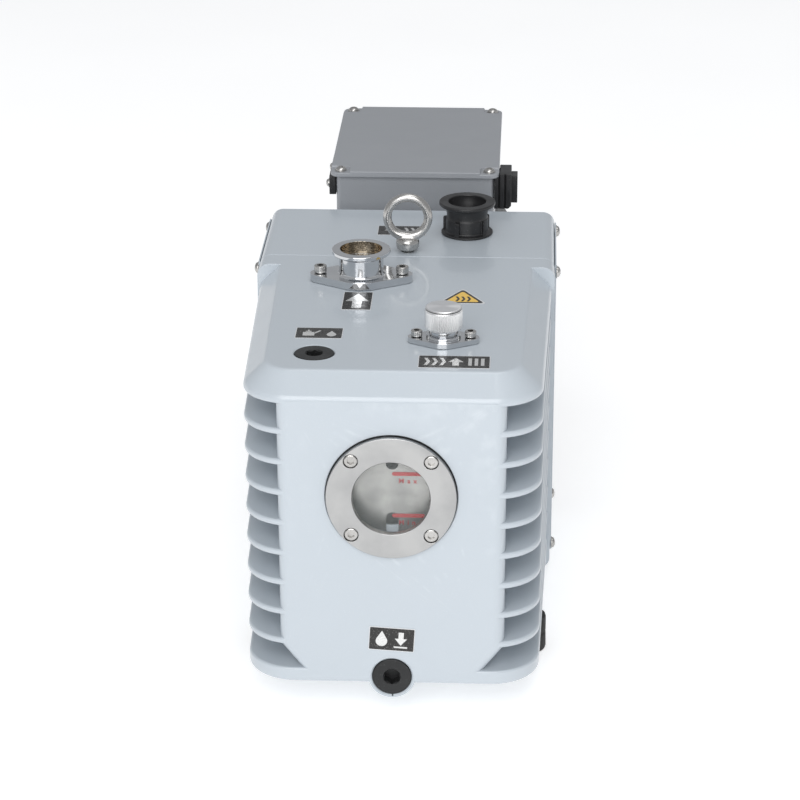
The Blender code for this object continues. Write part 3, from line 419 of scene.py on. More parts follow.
KNOB_SIDE = metal(
    "knob_aluminium_side",
    ((0.72, 0.72, 0.72), (0.84, 0.84, 0.84)),
    (0.28, 0.40),
    500,
    (1, 1, 0.15),
    0.01 * MM,
)
KNOB_TOP = turned_metal(
    "knob_aluminium_top",
    ((0.90, 0.90, 0.91), (0.95, 0.95, 0.95)),
    (0.30, 0.38),
    tuple(BALLAST),
    2,
    0.006 * MM,
    Anisotropic=0.75,
)
IRON = metal(
    "cast_iron", ((0.15, 0.15, 0.155), (0.21, 0.21, 0.215)), (0.45, 0.62), 700, (1, 1, 1), 0.06 * MM
)
STEEL = metal(
    "ground_steel", ((0.40, 0.40, 0.41), (0.52, 0.52, 0.53)), (0.24, 0.40), 600, (1, 1, 5), 0.02 * MM
)
COMPOSITE = moulded("vane_composite", ((0.08, 0.06, 0.045), (0.12, 0.09, 0.07)), (0.5, 0.65), 900, 0.05 * MM)
GLASS = clear_glass()
LABEL_BLACK = printed("label_black", ((0.016, 0.015, 0.014), (0.16, 0.155, 0.15)), (0.22, 0.42))
LABEL_SILVER = printed("label_silver", ((0.70, 0.70, 0.69), (0.42, 0.41, 0.40)), (0.2, 0.38), 0.6)
LABEL_EDGE = printed("label_edge", ((0.62, 0.63, 0.64), (0.5, 0.5, 0.5)), (0.3, 0.5))
LABEL_YELLOW = printed("label_yellow", ((0.80, 0.52, 0.10), (0.86, 0.62, 0.22)), (0.3, 0.45))
LEVEL_RED = printed("level_red", ((0.40, 0.004, 0.010), (0.46, 0.010, 0.018)), (0.4, 0.55))

SLOT_LOOKS = {
    "casing_paint": CASING,
    "grey_paint": GREY,
    "black_plastic": PLASTIC,
    "black_steel": OXIDE,
    "black_rubber": RUBBER,
    "stainless_steel": STAINLESS,
    "polished_chrome": CHROME,
    "knob_aluminium": KNOB_SIDE,
    "clear_glass": GLASS,
    "cast_iron": IRON,
    "machine_steel": STEEL,
    "vane_composite": COMPOSITE,
}

# ---------------------------------------------------------------- mesh helpers

WORK = bpy.data.collections.new("workshop")
PUMP = bpy.data.collections.new("pump")
bpy.context.scene.collection.children.link(WORK)
bpy.context.scene.collection.children.link(PUMP)


def at(x, depth, z):
    """World position of a point this far behind the front face."""
    return (x, FRONT_Y + depth, z)


def loose(mesh, where=(0, 0, 0), facing="up"):
    """An object in the workshop, to be cut, joined or made into a piece."""
    obj = bpy.data.objects.new("work", mesh)
    obj.location = where
    obj.rotation_euler = TURN[facing]
    WORK.objects.link(obj)
    return obj


def from_bmesh(bm, where=(0, 0, 0), facing="up"):
    mesh = bpy.data.meshes.new("work")
    bm.to_mesh(mesh)
    bm.free()
    return loose(mesh, where, facing)


def settled(obj):
    """The object's mesh with its modifiers and its place applied."""
    shapes = bpy.context.evaluated_depsgraph_get()
    mesh = bpy.data.meshes.new_from_object(
        obj.evaluated_get(shapes), preserve_all_data_layers=True, depsgraph=shapes
    )
    mesh.transform(obj.matrix_world)
    return mesh


def drum(radius, depth, where, facing="up", segments=72):
    """A cylinder that starts at a point and extends the way it faces."""
    bm = bmesh.new()
    bmesh.ops.create_cone(
        bm, cap_ends=True, segments=segments, radius1=radius, radius2=radius, depth=depth
    )
    bmesh.ops.translate(bm, verts=bm.verts, vec=(0, 0, depth / 2))
    return from_bmesh(bm, where, facing)


def block_between(x, depth, z):
    """A box given by its limits across, back and up."""
    bm = bmesh.new()
    bmesh.ops.create_cube(bm, size=1)
    bmesh.ops.scale(bm, verts=bm.verts, vec=(x[1] - x[0], depth[1] - depth[0], z[1] - z[0]))
    return from_bmesh(bm, at(sum(x) / 2, sum(depth) / 2, sum(z) / 2))


def turned(profile, where, facing="up", steps=96, ring=False, wave=None):
    """A profile of (radius, height) points, down its outer side, turned about its axis.

    wave gives (teeth, depth, first, last): the profile's points from first to last are knurled.
    """
    bm = bmesh.new()
    rows = []
    for i, (radius, height) in enumerate(profile):
        if radius < GAP / 10:
            rows.append([bm.verts.new((0, 0, height))])
            continue
        row = []
        for step in range(steps):
            angle = 2 * pi * step / steps
            reach = radius
            if wave and wave[2] <= i <= wave[3]:
                reach -= wave[1] * (0.5 + 0.5 * cos(wave[0] * angle)) ** 2
            row.append(bm.verts.new((reach * cos(angle), reach * sin(angle), height)))
        rows.append(row)
    pairs = list(zip(rows, rows[1:]))
    if ring:
        pairs.append((rows[-1], rows[0]))
    for upper, lower in pairs:
        for step in range(steps):
            after = (step + 1) % steps
            if len(upper) == 1:
                bm.faces.new((upper[0], lower[step], lower[after]))
            elif len(lower) == 1:
                bm.faces.new((upper[step], lower[0], upper[after]))
            else:
                bm.faces.new((upper[step], lower[step], lower[after], upper[after]))
    bmesh.ops.recalc_face_normals(bm, faces=bm.faces)
    return from_bmesh(bm, where, facing)


def extruded(outlines, depth, where, facing="up"):
    """Flat outlines, the first one outside and the rest holes, pulled out the way they face."""
    curve = bpy.data.curves.new("outline", "CURVE")
    curve.dimensions = "2D"
    curve.fill_mode = "BOTH"
    curve.extrude = depth / 2
    for outline in outlines:
        spline = curve.splines.new("POLY")
        spline.points.add(len(outline) - 1)
        for point, (x, y) in zip(spline.points, outline):
            point.co = (x, y, 0, 1)
        spline.use_cyclic_u = True
    guide = bpy.data.objects.new("outline", curve)
    WORK.objects.link(guide)
    mesh = settled(guide)
    bpy.data.objects.remove(guide)
    bm = bmesh.new()
    bm.from_mesh(mesh)
    bmesh.ops.remove_doubles(bm, verts=bm.verts, dist=0.00001)
    if len(outlines) == 1:
        bmesh.ops.dissolve_limit(bm, angle_limit=radians(0.1), verts=bm.verts, edges=bm.edges)
    bmesh.ops.translate(bm, verts=bm.verts, vec=(0, 0, depth / 2))
    bmesh.ops.recalc_face_normals(bm, faces=bm.faces)
    return from_bmesh(bm, where, facing)


def boolean(target, operation, *others):
    for other in others:
        modifier = target.modifiers.new(operation.lower(), "BOOLEAN")
        modifier.operation = operation
        modifier.solver = "EXACT"
        modifier.object = other
    return target


def cut(target, *others):
    return boolean(target, "DIFFERENCE", *others)


def join(target, *others):
    return boolean(target, "UNION", *others)


def arc(centre, radius, start, end, segments):
    """Points along an arc, angles in degrees."""
    angles = [radians(start + (end - start) * i / segments) for i in range(segments + 1)]
    return [(centre[0] + radius * cos(a), centre[1] + radius * sin(a)) for a in angles]


def rounded_rectangle(x, y, radius, segments=10):
    """Outline between two limits across and two limits up, with round corners."""
    corners = ((x[1], y[0], -90), (x[1], y[1], 0), (x[0], y[1], 90), (x[0], y[0], 180))
    outline = []
    for corner_x, corner_y, start in corners:
        centre_x = corner_x - radius if corner_x == x[1] else corner_x + radius
        centre_y = corner_y - radius if corner_y == y[1] else corner_y + radius
        outline += arc((centre_x, centre_y), radius, start, start + 90, segments)
    return outline


def tipped_oval(half_length, half_width, tip_r, segments=14):
    """A rhombic plate with round tips and a round middle."""
    tip = half_length - tip_r
    outline = []
    for side in (0, 180):
        sign = 1 if side == 0 else -1
        outline += arc((sign * tip, 0), tip_r, side - 60, side + 60, segments)
        outline += arc((0, 0), half_width, side + 68, side + 112, segments)
    return outline


def piece(name, obj, look, body="root", nodes=(), edge=0.0, steps=3, angle=35):
    """Makes a finished piece of a workshop object: rounds its edges, ties it to the frame."""
    made = bpy.data.objects.new(name, settled(obj))
    PUMP.objects.link(made)
    if edge:
        bevel = made.modifiers.new("edges", "BEVEL")
        bevel.width = edge
        bevel.segments = steps
        bevel.limit_method = "ANGLE"
        bevel.angle_limit = radians(angle)
        bevel.use_clamp_overlap = False
        mesh = settled(made)
        made.modifiers.clear()
        made.data = mesh
    mesh = made.data
    mesh.name = name
    mesh.shade_smooth()
    mesh.set_sharp_from_angle(angle=radians(angle))
    normals = made.modifiers.new("normals", "WEIGHTED_NORMAL")
    normals.weight = 90
    normals.keep_sharp = True
    mesh.materials.clear()
    mesh.materials.append(look)
    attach(made, body)
    if nodes:
        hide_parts(*nodes)
    return made


def paint_faces(obj, look, chosen):
    """Gives the faces whose centre and normal pass a test a second material."""
    obj.data.materials.append(look)
    index = len(obj.data.materials) - 1
    for face in obj.data.polygons:
        if chosen(face.center, face.normal):
            face.material_index = index


# ---------------------------------------------------------------- screws


def socket_screw(name, head_r, head_h, shank_r, length, where, facing, nodes=(), finish=None):
    """Socket head cap screw with a knurled, chamfered head that stands on the given point."""
    rim = 0.35 * MM
    profile = (
        (0, head_h),
        (head_r - 2 * rim, head_h),
        (head_r, head_h - rim),
        (head_r, rim),
        (head_r - rim, 0),
        (shank_r, 0),
        (shank_r, -length),
        (0, -length),
    )
    screw = turned(profile, where, facing, steps=96, wave=(24, 0.12 * MM, 2, 3))
    tool = drum(0.56 * head_r, head_h, (0, 0, 0.42 * head_h), "up", segments=6)
    tool.parent = screw
    look = finish or STAINLESS
    piece(name, cut(screw, tool), look, nodes=nodes, edge=0.12 * MM, steps=2)


def pan_screw(name, head_r, head_h, where, facing):
    """Domed screw with a cross recess and a washer under its head."""
    dome = [(0, head_h)]
    for i in range(1, 9):
        angle = radians(90 * i / 8)
        dome.append((head_r * sin(angle), 0.35 * MM + (head_h - 0.35 * MM) * cos(angle)))
    dome += [(head_r, 0), (head_r + 0.7 * MM, 0), (head_r + 0.7 * MM, -0.5 * MM), (0, -0.5 * MM)]
    screw = turned(dome, where, facing, steps=48)
    for turn in (0, pi / 2):
        bm = bmesh.new()
        bmesh.ops.create_cube(bm, size=1)
        bmesh.ops.scale(bm, verts=bm.verts, vec=(1.15 * head_r, 0.75 * MM, 1.6 * MM))
        tool = from_bmesh(bm, (0, 0, head_h))
        tool.rotation_euler = (0, 0, turn + pi / 4)
        tool.parent = screw
        cut(screw, tool)
    piece(name, screw, STAINLESS, edge=0.1 * MM, steps=2)


# ---------------------------------------------------------------- oil casing


def casing_outline(inset):
    """Plan of the finned casing: flat front, round corners, sides that spread backwards."""
    side = FACE_HALF + CORNER_R - inset
    rear = FLANGE_DEPTH + 2 * MM
    corner = arc((FACE_HALF, CORNER_R), CORNER_R - inset, -90, 0, 18)
    right = corner[:-1] + [(side, CORNER_R), (SIDE_HALF_REAR - inset, rear)]
    return [(-x, y) for x, y in reversed(right)] + right


def core_outline(half):
    """Plan of the casing behind its fins: round front corners, a rib in front of the flange."""
    root_r = 4 * MM
    wall = half - RECESS_EDGE_R
    right = arc((wall, RECESS_EDGE_R), RECESS_EDGE_R, -90, 0, 8)
    right += arc((half + root_r, RECESS_END - root_r), root_r, 180, 90, 5)
    right += [(SIDE_HALF_REAR - 0.5 * MM, RECESS_END), (SIDE_HALF_REAR - 0.5 * MM, SEAM_DEPTH - 4 * MM)]
    return [(-x, y) for x, y in reversed(right)] + right


def lofted(levels, plan):
    """A solid through plan outlines at rising heights; levels are (height, outline's size)."""
    bm = bmesh.new()
    rows = [[bm.verts.new(at(x, depth, z)) for x, depth in plan(size)] for z, size in levels]
    bm.faces.new(rows[0][::-1])
    bm.faces.new(rows[-1])
    for lower, upper in zip(rows, rows[1:]):
        for i in range(len(lower)):
            j = (i + 1) % len(lower)
            bm.faces.new((lower[i], lower[j], upper[j], upper[i]))
    bmesh.ops.recalc_face_normals(bm, faces=bm.faces)
    return from_bmesh(bm)


def rounding(z, radius, up, steps=5):
    """Levels of a round edge that starts at a height; up says which way the solid lies."""
    levels = []
    for i in range(steps + 1):
        angle = radians(90 * i / steps)
        rise = radius * (1 - cos(angle))
        levels.append((z + rise if up else z - rise, radius * (1 - sin(angle))))
    return levels if up else levels[::-1]


def chamfered_deck(low):
    """The casing's top: a wide chamfer with soft blends round the front and the sides."""
    levels = rounding(low, FIN_EDGE_R, True)
    start = TOP_Z - CHAMFER
    tangent = CHAMFER_LOW_R * tan(radians(22.5))
    for i in range(6):
        angle = radians(45 * i / 5)
        height = start - tangent + CHAMFER_LOW_R * sin(angle)
        levels.append((height, CHAMFER_LOW_R * (1 - cos(angle))))
    tangent = CHAMFER_TOP_R * tan(radians(22.5))
    for i in range(6):
        angle = radians(45 - 45 * i / 5)
        height = TOP_Z - CHAMFER_TOP_R * (1 - cos(angle))
        levels.append((height, CHAMFER + tangent - CHAMFER_TOP_R * sin(angle)))
    return lofted(levels, casing_outline)


def softened(obj, width, steps=3):
    """The object with its edges rounded."""
    bevel = obj.modifiers.new("edges", "BEVEL")
    bevel.width = width
    bevel.segments = steps
    bevel.limit_method = "ANGLE"
    bevel.angle_limit = radians(35)
    return loose(settled(obj))


def sight_screw_places():
    side = SIGHT_SCREW_PCR * cos(pi / 4)
    return [(x * side, SIGHT_Z + z * side) for x in (-1, 1) for z in (1, -1)]


def inlet_screw_places():
    return [(INLET_X + side * 28 * MM, INLET_DEPTH) for side in (-1, 1)]


def ballast_screw_places():
    return [(BALLAST_X + side * 17.4 * MM, BALLAST_DEPTH) for side in (-1, 1)]


def casing_cavity():
    """The oil space, narrower at the bottom to keep clear of the flared recess."""
    low, high = BASE_Z + 5.4 * MM, TOP_Z - WALL
    half = [(0.75 * CAVITY_HALF, low), (0.75 * CAVITY_HALF, low + 9 * MM)]
    half += [(CAVITY_HALF, low + 30 * MM), (CAVITY_HALF, high)]
    outline = half + [(-x, z) for x, z in reversed(half)]
    depth = SEAM_DEPTH + 2 * MM - FRONT_WALL
    return extruded([outline], depth, at(0, SEAM_DEPTH + 2 * MM, 0), "front")


def countersink(radius, width, where, facing):
    """Cutter for the small chamfer at the mouth of a hole."""
    over = 1 * MM
    profile = ((0, over), (radius + width + over, over), (radius, -width), (0, -width))
    return turned(profile, where, facing, 96)


def casing_holes():
    past = 2 * MM
    holes = [
        drum(RING_R + 0.8 * MM, SEAT_DEPTH + past, at(0, SEAT_DEPTH, SIGHT_Z), "front", 128),
        countersink(RING_R + 0.8 * MM, 0.3 * MM, at(0, 0, SIGHT_Z), "front"),
        drum(GLASS_R + GAP, 13.5 * MM, at(0, 13.5 * MM, SIGHT_Z), "front", 96),
        drum(26 * MM, 8 * MM, at(0, 20 * MM, SIGHT_Z), "front", 96),
    ]
    for x, z in sight_screw_places():
        holes.append(drum(2.4 * MM, 11 * MM, at(x, 10 * MM, z), "front", 16))
    for centre, facing, out in (
        (at(FILL_X, FILL_DEPTH, TOP_Z), "down", "up"),
        (at(0, 0, DRAIN.z), "back", "front"),
    ):
        holes.append(drum(PLUG_R + GAP, PLUG_HEAD + 1.3 * MM, centre, facing))
        holes.append(drum(PLUG_THREAD_R + GAP, 31 * MM, centre, facing))
        holes.append(drum(PLUG_R + GAP, past, centre, out))
        holes.append(countersink(PLUG_R + GAP, 0.7 * MM, centre, out))
    holes.append(drum(INLET_SPIGOT_R + GAP, 20 * MM, at(INLET_X, INLET_DEPTH, TOP_Z - 15 * MM)))
    holes.append(drum(4.5 * MM, 20 * MM, at(BALLAST_X, BALLAST_DEPTH, TOP_Z - 15 * MM), segments=32))
    for x, depth in inlet_screw_places() + ballast_screw_places():
        holes.append(drum(2.8 * MM, 12 * MM, at(x, depth, TOP_Z - 8 * MM), segments=16))
    return holes


def oil_casing():
    pitch = (TOP_Z - CHAMFER - FLOOR_PLATE_Z) / RECESSES
    first_fin = FLOOR_PLATE_Z + pitch - FIN
    flared = RECESS_INNER - FLARE
    core_levels = ((BASE_Z + 4 * MM, flared), (FLOOR_PLATE_Z, flared), (first_fin, RECESS_INNER))
    body = lofted((*core_levels, (TOP_Z - CHAMFER - 2 * MM, RECESS_INNER)), core_outline)
    body.location.y = -0.03 * MM
    base = rounding(BASE_Z, BASE_EDGE_R, True) + rounding(FLOOR_PLATE_Z, FIN_EDGE_R, False)
    join(body, lofted(base, casing_outline), chamfered_deck(TOP_Z - CHAMFER - FIN))
    for i in range(RECESSES - 1):
        low = first_fin + i * pitch
        fin = rounding(low, FIN_EDGE_R, True) + rounding(low + FIN, FIN_EDGE_R, False)
        join(body, lofted(fin, casing_outline))
    flange = extruded(
        [rounded_rectangle((-FLANGE_HALF, FLANGE_HALF), (FLANGE_BASE_Z, TOP_Z), FLANGE_EDGE_R)],
        SEAM_DEPTH - FLANGE_DEPTH,
        at(0, SEAM_DEPTH, 0),
        "front",
    )
    belly = extruded(
        [rounded_rectangle((-48 * MM, 48 * MM), (21 * MM, BASE_Z + 4 * MM), 3 * MM, 6)],
        190 * MM,
        at(0, FLANGE_DEPTH, 0),
        "front",
    )
    boss_edge = 1.2 * MM
    boss = turned(
        (
            (0, 0.3 * MM),
            (DRAIN_BOSS_R - boss_edge, 0.3 * MM),
            (DRAIN_BOSS_R - 0.3 * boss_edge, 0.3 * MM - 0.3 * boss_edge),
            (DRAIN_BOSS_R, 0.3 * MM - boss_edge),
            (DRAIN_BOSS_R, -28 * MM),
            (0, -28 * MM),
        ),
        at(0, 0, DRAIN.z),
        "front",
        96,
    )
    join(body, softened(flange, FLANGE_ROUNDING), softened(belly, 2 * MM), boss)
    cut(body, casing_cavity())
    join(
        body,
        drum(35 * MM, 11 * MM, at(0, 15 * MM, SIGHT_Z), "front"),
        drum(16 * MM, 16 * MM, at(FILL_X, FILL_DEPTH, TOP_Z - 20 * MM)),
        drum(15 * MM, 22 * MM, at(0, 27 * MM, DRAIN.z), "front"),
    )
    cut(body, *casing_holes())
    piece("casing_shell", body, CASING, nodes=("oil_casing",))


# ---------------------------------------------------------------- sight glass


def sight_glass():
    ring = turned(
        (
            (WINDOW_R + 0.6 * MM, RING_PROUD),
            (RING_R - 0.6 * MM, RING_PROUD),
            (RING_R - 0.2 * MM, RING_PROUD - 0.2 * MM),
            (RING_R, RING_PROUD - 0.6 * MM),
            (RING_R, -RING_BACK),
            (WINDOW_R, -RING_BACK),
            (WINDOW_R, RING_PROUD - 0.6 * MM),
        ),
        at(0, 0, SIGHT_Z),
        "front",
        160,
        ring=True,
    )
    seat = RING_PROUD - 3 * MM
    for x, z in sight_screw_places():
        cut(ring, drum(4.8 * MM, 5 * MM, at(x, -seat, z), "front", 48))
        cut(ring, drum(2.4 * MM, 12 * MM, at(x, 6 * MM, z), "front", 24))
    piece(
        "sight_ring", ring, RING_STEEL, nodes=("sight_glass_ring",),
        edge=0.2 * MM, steps=2, angle=50,
    )
    for i, (x, z) in enumerate(sight_screw_places(), 1):
        socket_screw(
            f"ring_screw_{i}", 4.3 * MM, 2.6 * MM, 2 * MM, 9 * MM,
            at(x, -seat - GAP, z), "front", nodes=(f"sight_screw_{i}",),
        )
    rim = 0.5 * MM
    glass = turned(
        (
            (0, 0),
            (GLASS_R - rim, 0),
            (GLASS_R, -rim),
            (GLASS_R, rim - GLASS_THICK),
            (GLASS_R - rim, -GLASS_THICK),
            (0, -GLASS_THICK),
        ),
        at(0, RING_BACK + GAP, SIGHT_Z),
        "front",
        128,
    )
    piece("window_glass", glass, GLASS, nodes=("sight_glass",))
    gasket = turned(
        (
            (RING_R + 0.5 * MM, 0),
            (RING_R + 0.5 * MM, -GASKET_THICK),
            (GLASS_R + 1 * MM, -GASKET_THICK),
            (GLASS_R + 1 * MM, 0),
        ),
        at(0, RING_BACK + GAP, SIGHT_Z),
        "front",
        128,
        ring=True,
    )
    piece("ring_gasket", gasket, RUBBER, nodes=("sight_gasket",), edge=0.15 * MM)
    level_plate()


def level_plate():
    """The plate behind the glass, with its slots and the two level marks."""
    thick = 1.2 * MM
    back = PLATE_DEPTH + thick
    plate = drum(GLASS_R - 0.2 * MM, thick, at(0, back, SIGHT_Z), "front", 96)
    for low, high in ((13.8 * MM, 32 * MM), (-32 * MM, -16.4 * MM)):
        slot = rounded_rectangle((-4 * MM, 4 * MM), (low, high), 3.8 * MM)
        cut(plate, extruded([slot], 4 * MM, at(0, back + 1 * MM, SIGHT_Z), "front"))
    piece("level_plate", plate, PLATE_STEEL, nodes=("oil_level_plate",))
    for name, z in (("maximum", 10.8 * MM), ("minimum", -18.4 * MM)):
        end = sqrt((GLASS_R - 2 * MM) ** 2 - z**2)
        line = extruded(
            [rounded_rectangle((0, end), (z - 1.3 * MM, z + 1.3 * MM), 1.29 * MM)],
            0.35 * MM,
            at(0, PLATE_DEPTH, SIGHT_Z),
            "front",
        )
        piece(f"level_line_{name}", line, LEVEL_RED, edge=0.1 * MM, steps=2)
        words = bpy.data.curves.new("words", "FONT")
        words.body = name[:3].capitalize()
        words.size = 4.5 * MM
        words.space_character = 1.9
        words.extrude = 0.08 * MM
        words.offset = 0.10 * MM
        text = bpy.data.objects.new("words", words)
        text.location = at(4.2 * MM, PLATE_DEPTH - 0.08 * MM, SIGHT_Z + z - 6.4 * MM)
        text.rotation_euler = TURN["front"]
        WORK.objects.link(text)
        piece(f"level_word_{name}", text, LEVEL_RED)


# ---------------------------------------------------------------- plugs


def threaded_plug(name, centre, facing):
    """Flanged screw plug with a hexagon socket, a shallow lathe step and a turned edge."""
    thread = []
    turns = int((PLUG_LENGTH - 1.5 * MM) / THREAD_PITCH)
    for i in range(turns):
        top = -PLUG_HEAD - 0.6 * MM - i * THREAD_PITCH
        thread += [
            (PLUG_THREAD_R - 1.1 * MM, top),
            (PLUG_THREAD_R - 0.1 * MM, top - 0.4 * THREAD_PITCH),
            (PLUG_THREAD_R - 0.1 * MM, top - 0.6 * THREAD_PITCH),
        ]
    end = -PLUG_HEAD - PLUG_LENGTH
    profile = [
        (0, 0),
        (PLUG_R - 0.7 * MM, 0),
        (PLUG_R - 0.2 * MM, -0.2 * MM),
        (PLUG_R, -0.7 * MM),
        (PLUG_R, -PLUG_HEAD + 0.3 * MM),
        (PLUG_R - 0.3 * MM, -PLUG_HEAD),
        (PLUG_THREAD_R - 1.1 * MM, -PLUG_HEAD),
        *thread,
        (PLUG_THREAD_R - 1.1 * MM, end + 0.6 * MM),
        (PLUG_THREAD_R - 1.7 * MM, end),
        (0, end),
    ]
    plug = turned(profile, centre, facing, 96)
    corner_r = PLUG_HEX / 2 / cos(pi / 6)
    socket = drum(corner_r, 12 * MM, (0, 0, -8 * MM), segments=6)
    mouth = turned(
        ((0, 1 * MM), (corner_r + 0.9 * MM, 1 * MM), (corner_r - 0.75 * MM, -MM), (0, -MM)),
        (0, 0, 0),
        steps=64,
    )
    socket.parent = plug
    mouth.parent = plug
    piece(
        f"{name}_screw_plug", cut(plug, socket, mouth), OXIDE, f"{name}_plug",
        (f"{name}_plug",), edge=0.15 * MM, steps=2, angle=40,
    )
    seal_top = -PLUG_HEAD - GAP
    seal_low = seal_top - 0.7 * MM
    inner, outer = PLUG_THREAD_R + GAP, PLUG_R - 0.4 * MM
    seal = turned(
        ((outer, seal_top), (outer, seal_low), (inner, seal_low), (inner, seal_top)),
        centre,
        facing,
        72,
        ring=True,
    )
    piece(
        f"{name}_seal_ring", seal, RUBBER, f"{name}_seal",
        (f"{name}_plug_seal",), edge=0.15 * MM,
    )


# ---------------------------------------------------------------- ports and fittings


def inlet_port():
    base_z = TOP_Z + GAP
    where = at(INLET_X, INLET_DEPTH, base_z)
    neck, passage = 15.2 * MM, 9.5 * MM
    top = INLET_HEIGHT
    screen_seat = top - 9 * MM
    port = turned(
        (
            (0, top),
            (KF_R - 0.4 * MM, top),
            (KF_R, top - 0.4 * MM),
            (KF_R, top - 2.6 * MM),
            (KF_R - 0.4 * MM, top - 2.95 * MM),
            (neck + 0.8 * MM, top - 4.2 * MM),
            (neck, top - 5.0 * MM),
            (neck, INLET_BASE + 2.2 * MM),
            (neck + 0.6 * MM, INLET_BASE + 0.7 * MM),
            (neck + 2.2 * MM, INLET_BASE - 0.2 * MM),
            (neck + 2.2 * MM, 1 * MM),
            (INLET_SPIGOT_R, 1 * MM),
            (INLET_SPIGOT_R, -20 * MM),
            (0, -20 * MM),
        ),
        where,
        "up",
        128,
    )
    join(port, extruded([tipped_oval(35 * MM, 21.5 * MM, 7 * MM)], INLET_BASE, where))
    bores = ((INLET_BORE_R, screen_seat), (INLET_BORE_R - 2 * MM, 3 * MM), (passage, -25 * MM))
    for radius, low in bores:
        start = at(INLET_X, INLET_DEPTH, base_z + low)
        cut(port, drum(radius, 60 * MM, start, segments=128))
    for x, depth in inlet_screw_places():
        cut(port, drum(2.8 * MM, 9 * MM, at(x, depth, TOP_Z - 1 * MM), segments=24))
    made = piece(
        "inlet_flange_port", port, CHROME, nodes=("inlet_port",), edge=0.3 * MM, angle=40
    )
    axis = Vector(at(INLET_X, INLET_DEPTH, 0))

    def in_bore(centre, normal):
        flat = Vector((centre.x - axis.x, centre.y - axis.y))
        return flat.length < INLET_BORE_R + 0.1 * MM and abs(normal.z) < 0.9 and centre.z > TOP_Z

    # The bore's side faces get the warm metal: a painted warm reflection inside the bore.
    paint_faces(made, BORE_METAL_WITH_PAINTED_REFLECTION, in_bore)
    for i, (x, depth) in enumerate(inlet_screw_places(), 1):
        seat = at(x, depth, TOP_Z + INLET_BASE + 2 * GAP)
        socket_screw(
            f"inlet_cap_screw_{i}", 4.25 * MM, 5 * MM, 2.4 * MM, 11 * MM, seat, "up",
            nodes=(f"inlet_screw_{i}",),
        )
    inlet_screen(TOP_Z + screen_seat + 2 * GAP)


def inlet_screen(z):
    """Woven wire screen in a pressed rim, resting on the step in the bore."""
    outer = INLET_BORE_R - GAP
    rim_w, wire, pitch = 1.6 * MM, 0.36 * MM, 0.95 * MM
    rim = turned(
        ((outer, 0.8 * MM), (outer, 0), (outer - rim_w, 0), (outer - rim_w, 0.8 * MM)),
        at(INLET_X, INLET_DEPTH, z),
        steps=96,
        ring=True,
    )
    bm = bmesh.new()
    inner = outer - rim_w + 0.3 * MM
    count = int(inner / pitch)
    for along in (0, 1):
        for i in range(-count, count + 1):
            across = i * pitch
            half = sqrt(inner**2 - across**2)
            steps = max(2, int(2 * half / (pitch / 2)))
            rows = []
            for step in range(steps + 1):
                run = -half + 2 * half * step / steps
                phase = run / pitch + i + along
                height = 0.4 * MM + 0.17 * MM * cos(pi * phase)
                square = []
                for a, b in ((-1, -1), (1, -1), (1, 1), (-1, 1)):
                    side = across + a * wire / 2
                    spot = (run, side) if along else (side, run)
                    square.append(bm.verts.new((*spot, height + b * wire / 2)))
                rows.append(square)
            bm.faces.new(rows[0])
            bm.faces.new(rows[-1])
            for first, second in zip(rows, rows[1:]):
                for k in range(4):
                    j = (k + 1) % 4
                    bm.faces.new((first[k], first[j], second[j], second[k]))
    bmesh.ops.recalc_face_normals(bm, faces=bm.faces)
    weave = from_bmesh(bm, at(INLET_X, INLET_DEPTH, z))
    piece("inlet_screen_rim", rim, STAINLESS, nodes=("inlet_screen",), edge=0.15 * MM)
    piece("inlet_screen_weave", weave, STAINLESS)


def gas_ballast():
    base = at(BALLAST_X, BALLAST_DEPTH, TOP_Z + GAP)
    plate = extruded([tipped_oval(23.2 * MM, 14 * MM, 5 * MM)], BALLAST_PLATE, base)
    neck = turned(
        (
            (0, KNOB_LOW - 0.6 * MM),
            (9.6 * MM, KNOB_LOW - 0.6 * MM),
            (9.9 * MM, KNOB_LOW - 0.9 * MM),
            (9.9 * MM, BALLAST_PLATE + 3.4 * MM),
            (8.9 * MM, BALLAST_PLATE + 3.0 * MM),
            (8.9 * MM, BALLAST_PLATE + 2.6 * MM),
            (10.8 * MM, BALLAST_PLATE + 2.1 * MM),
            (11.4 * MM, BALLAST_PLATE + 1.3 * MM),
            (11.4 * MM, 1 * MM),
            (0, 1 * MM),
        ),
        base,
        "up",
        96,
    )
    join(plate, neck)
    bore = at(BALLAST_X, BALLAST_DEPTH, TOP_Z - 5 * MM)
    cut(plate, drum(4.5 * MM, 20 * MM, bore, segments=48))
    for x, depth in ballast_screw_places():
        cut(plate, drum(2.4 * MM, 9 * MM, at(x, depth, TOP_Z - 2 * MM), segments=24))
    piece("ballast_valve_seat", plate, CHROME, nodes=("ballast_flange",), edge=0.3 * MM)
    for i, (x, depth) in enumerate(ballast_screw_places(), 1):
        seat = at(x, depth, TOP_Z + BALLAST_PLATE + 2 * GAP)
        socket_screw(
            f"ballast_cap_screw_{i}", 3.7 * MM, 4 * MM, 2 * MM, 9 * MM, seat, "up",
            nodes=(f"ballast_screw_{i}",),
        )
    knob(base)


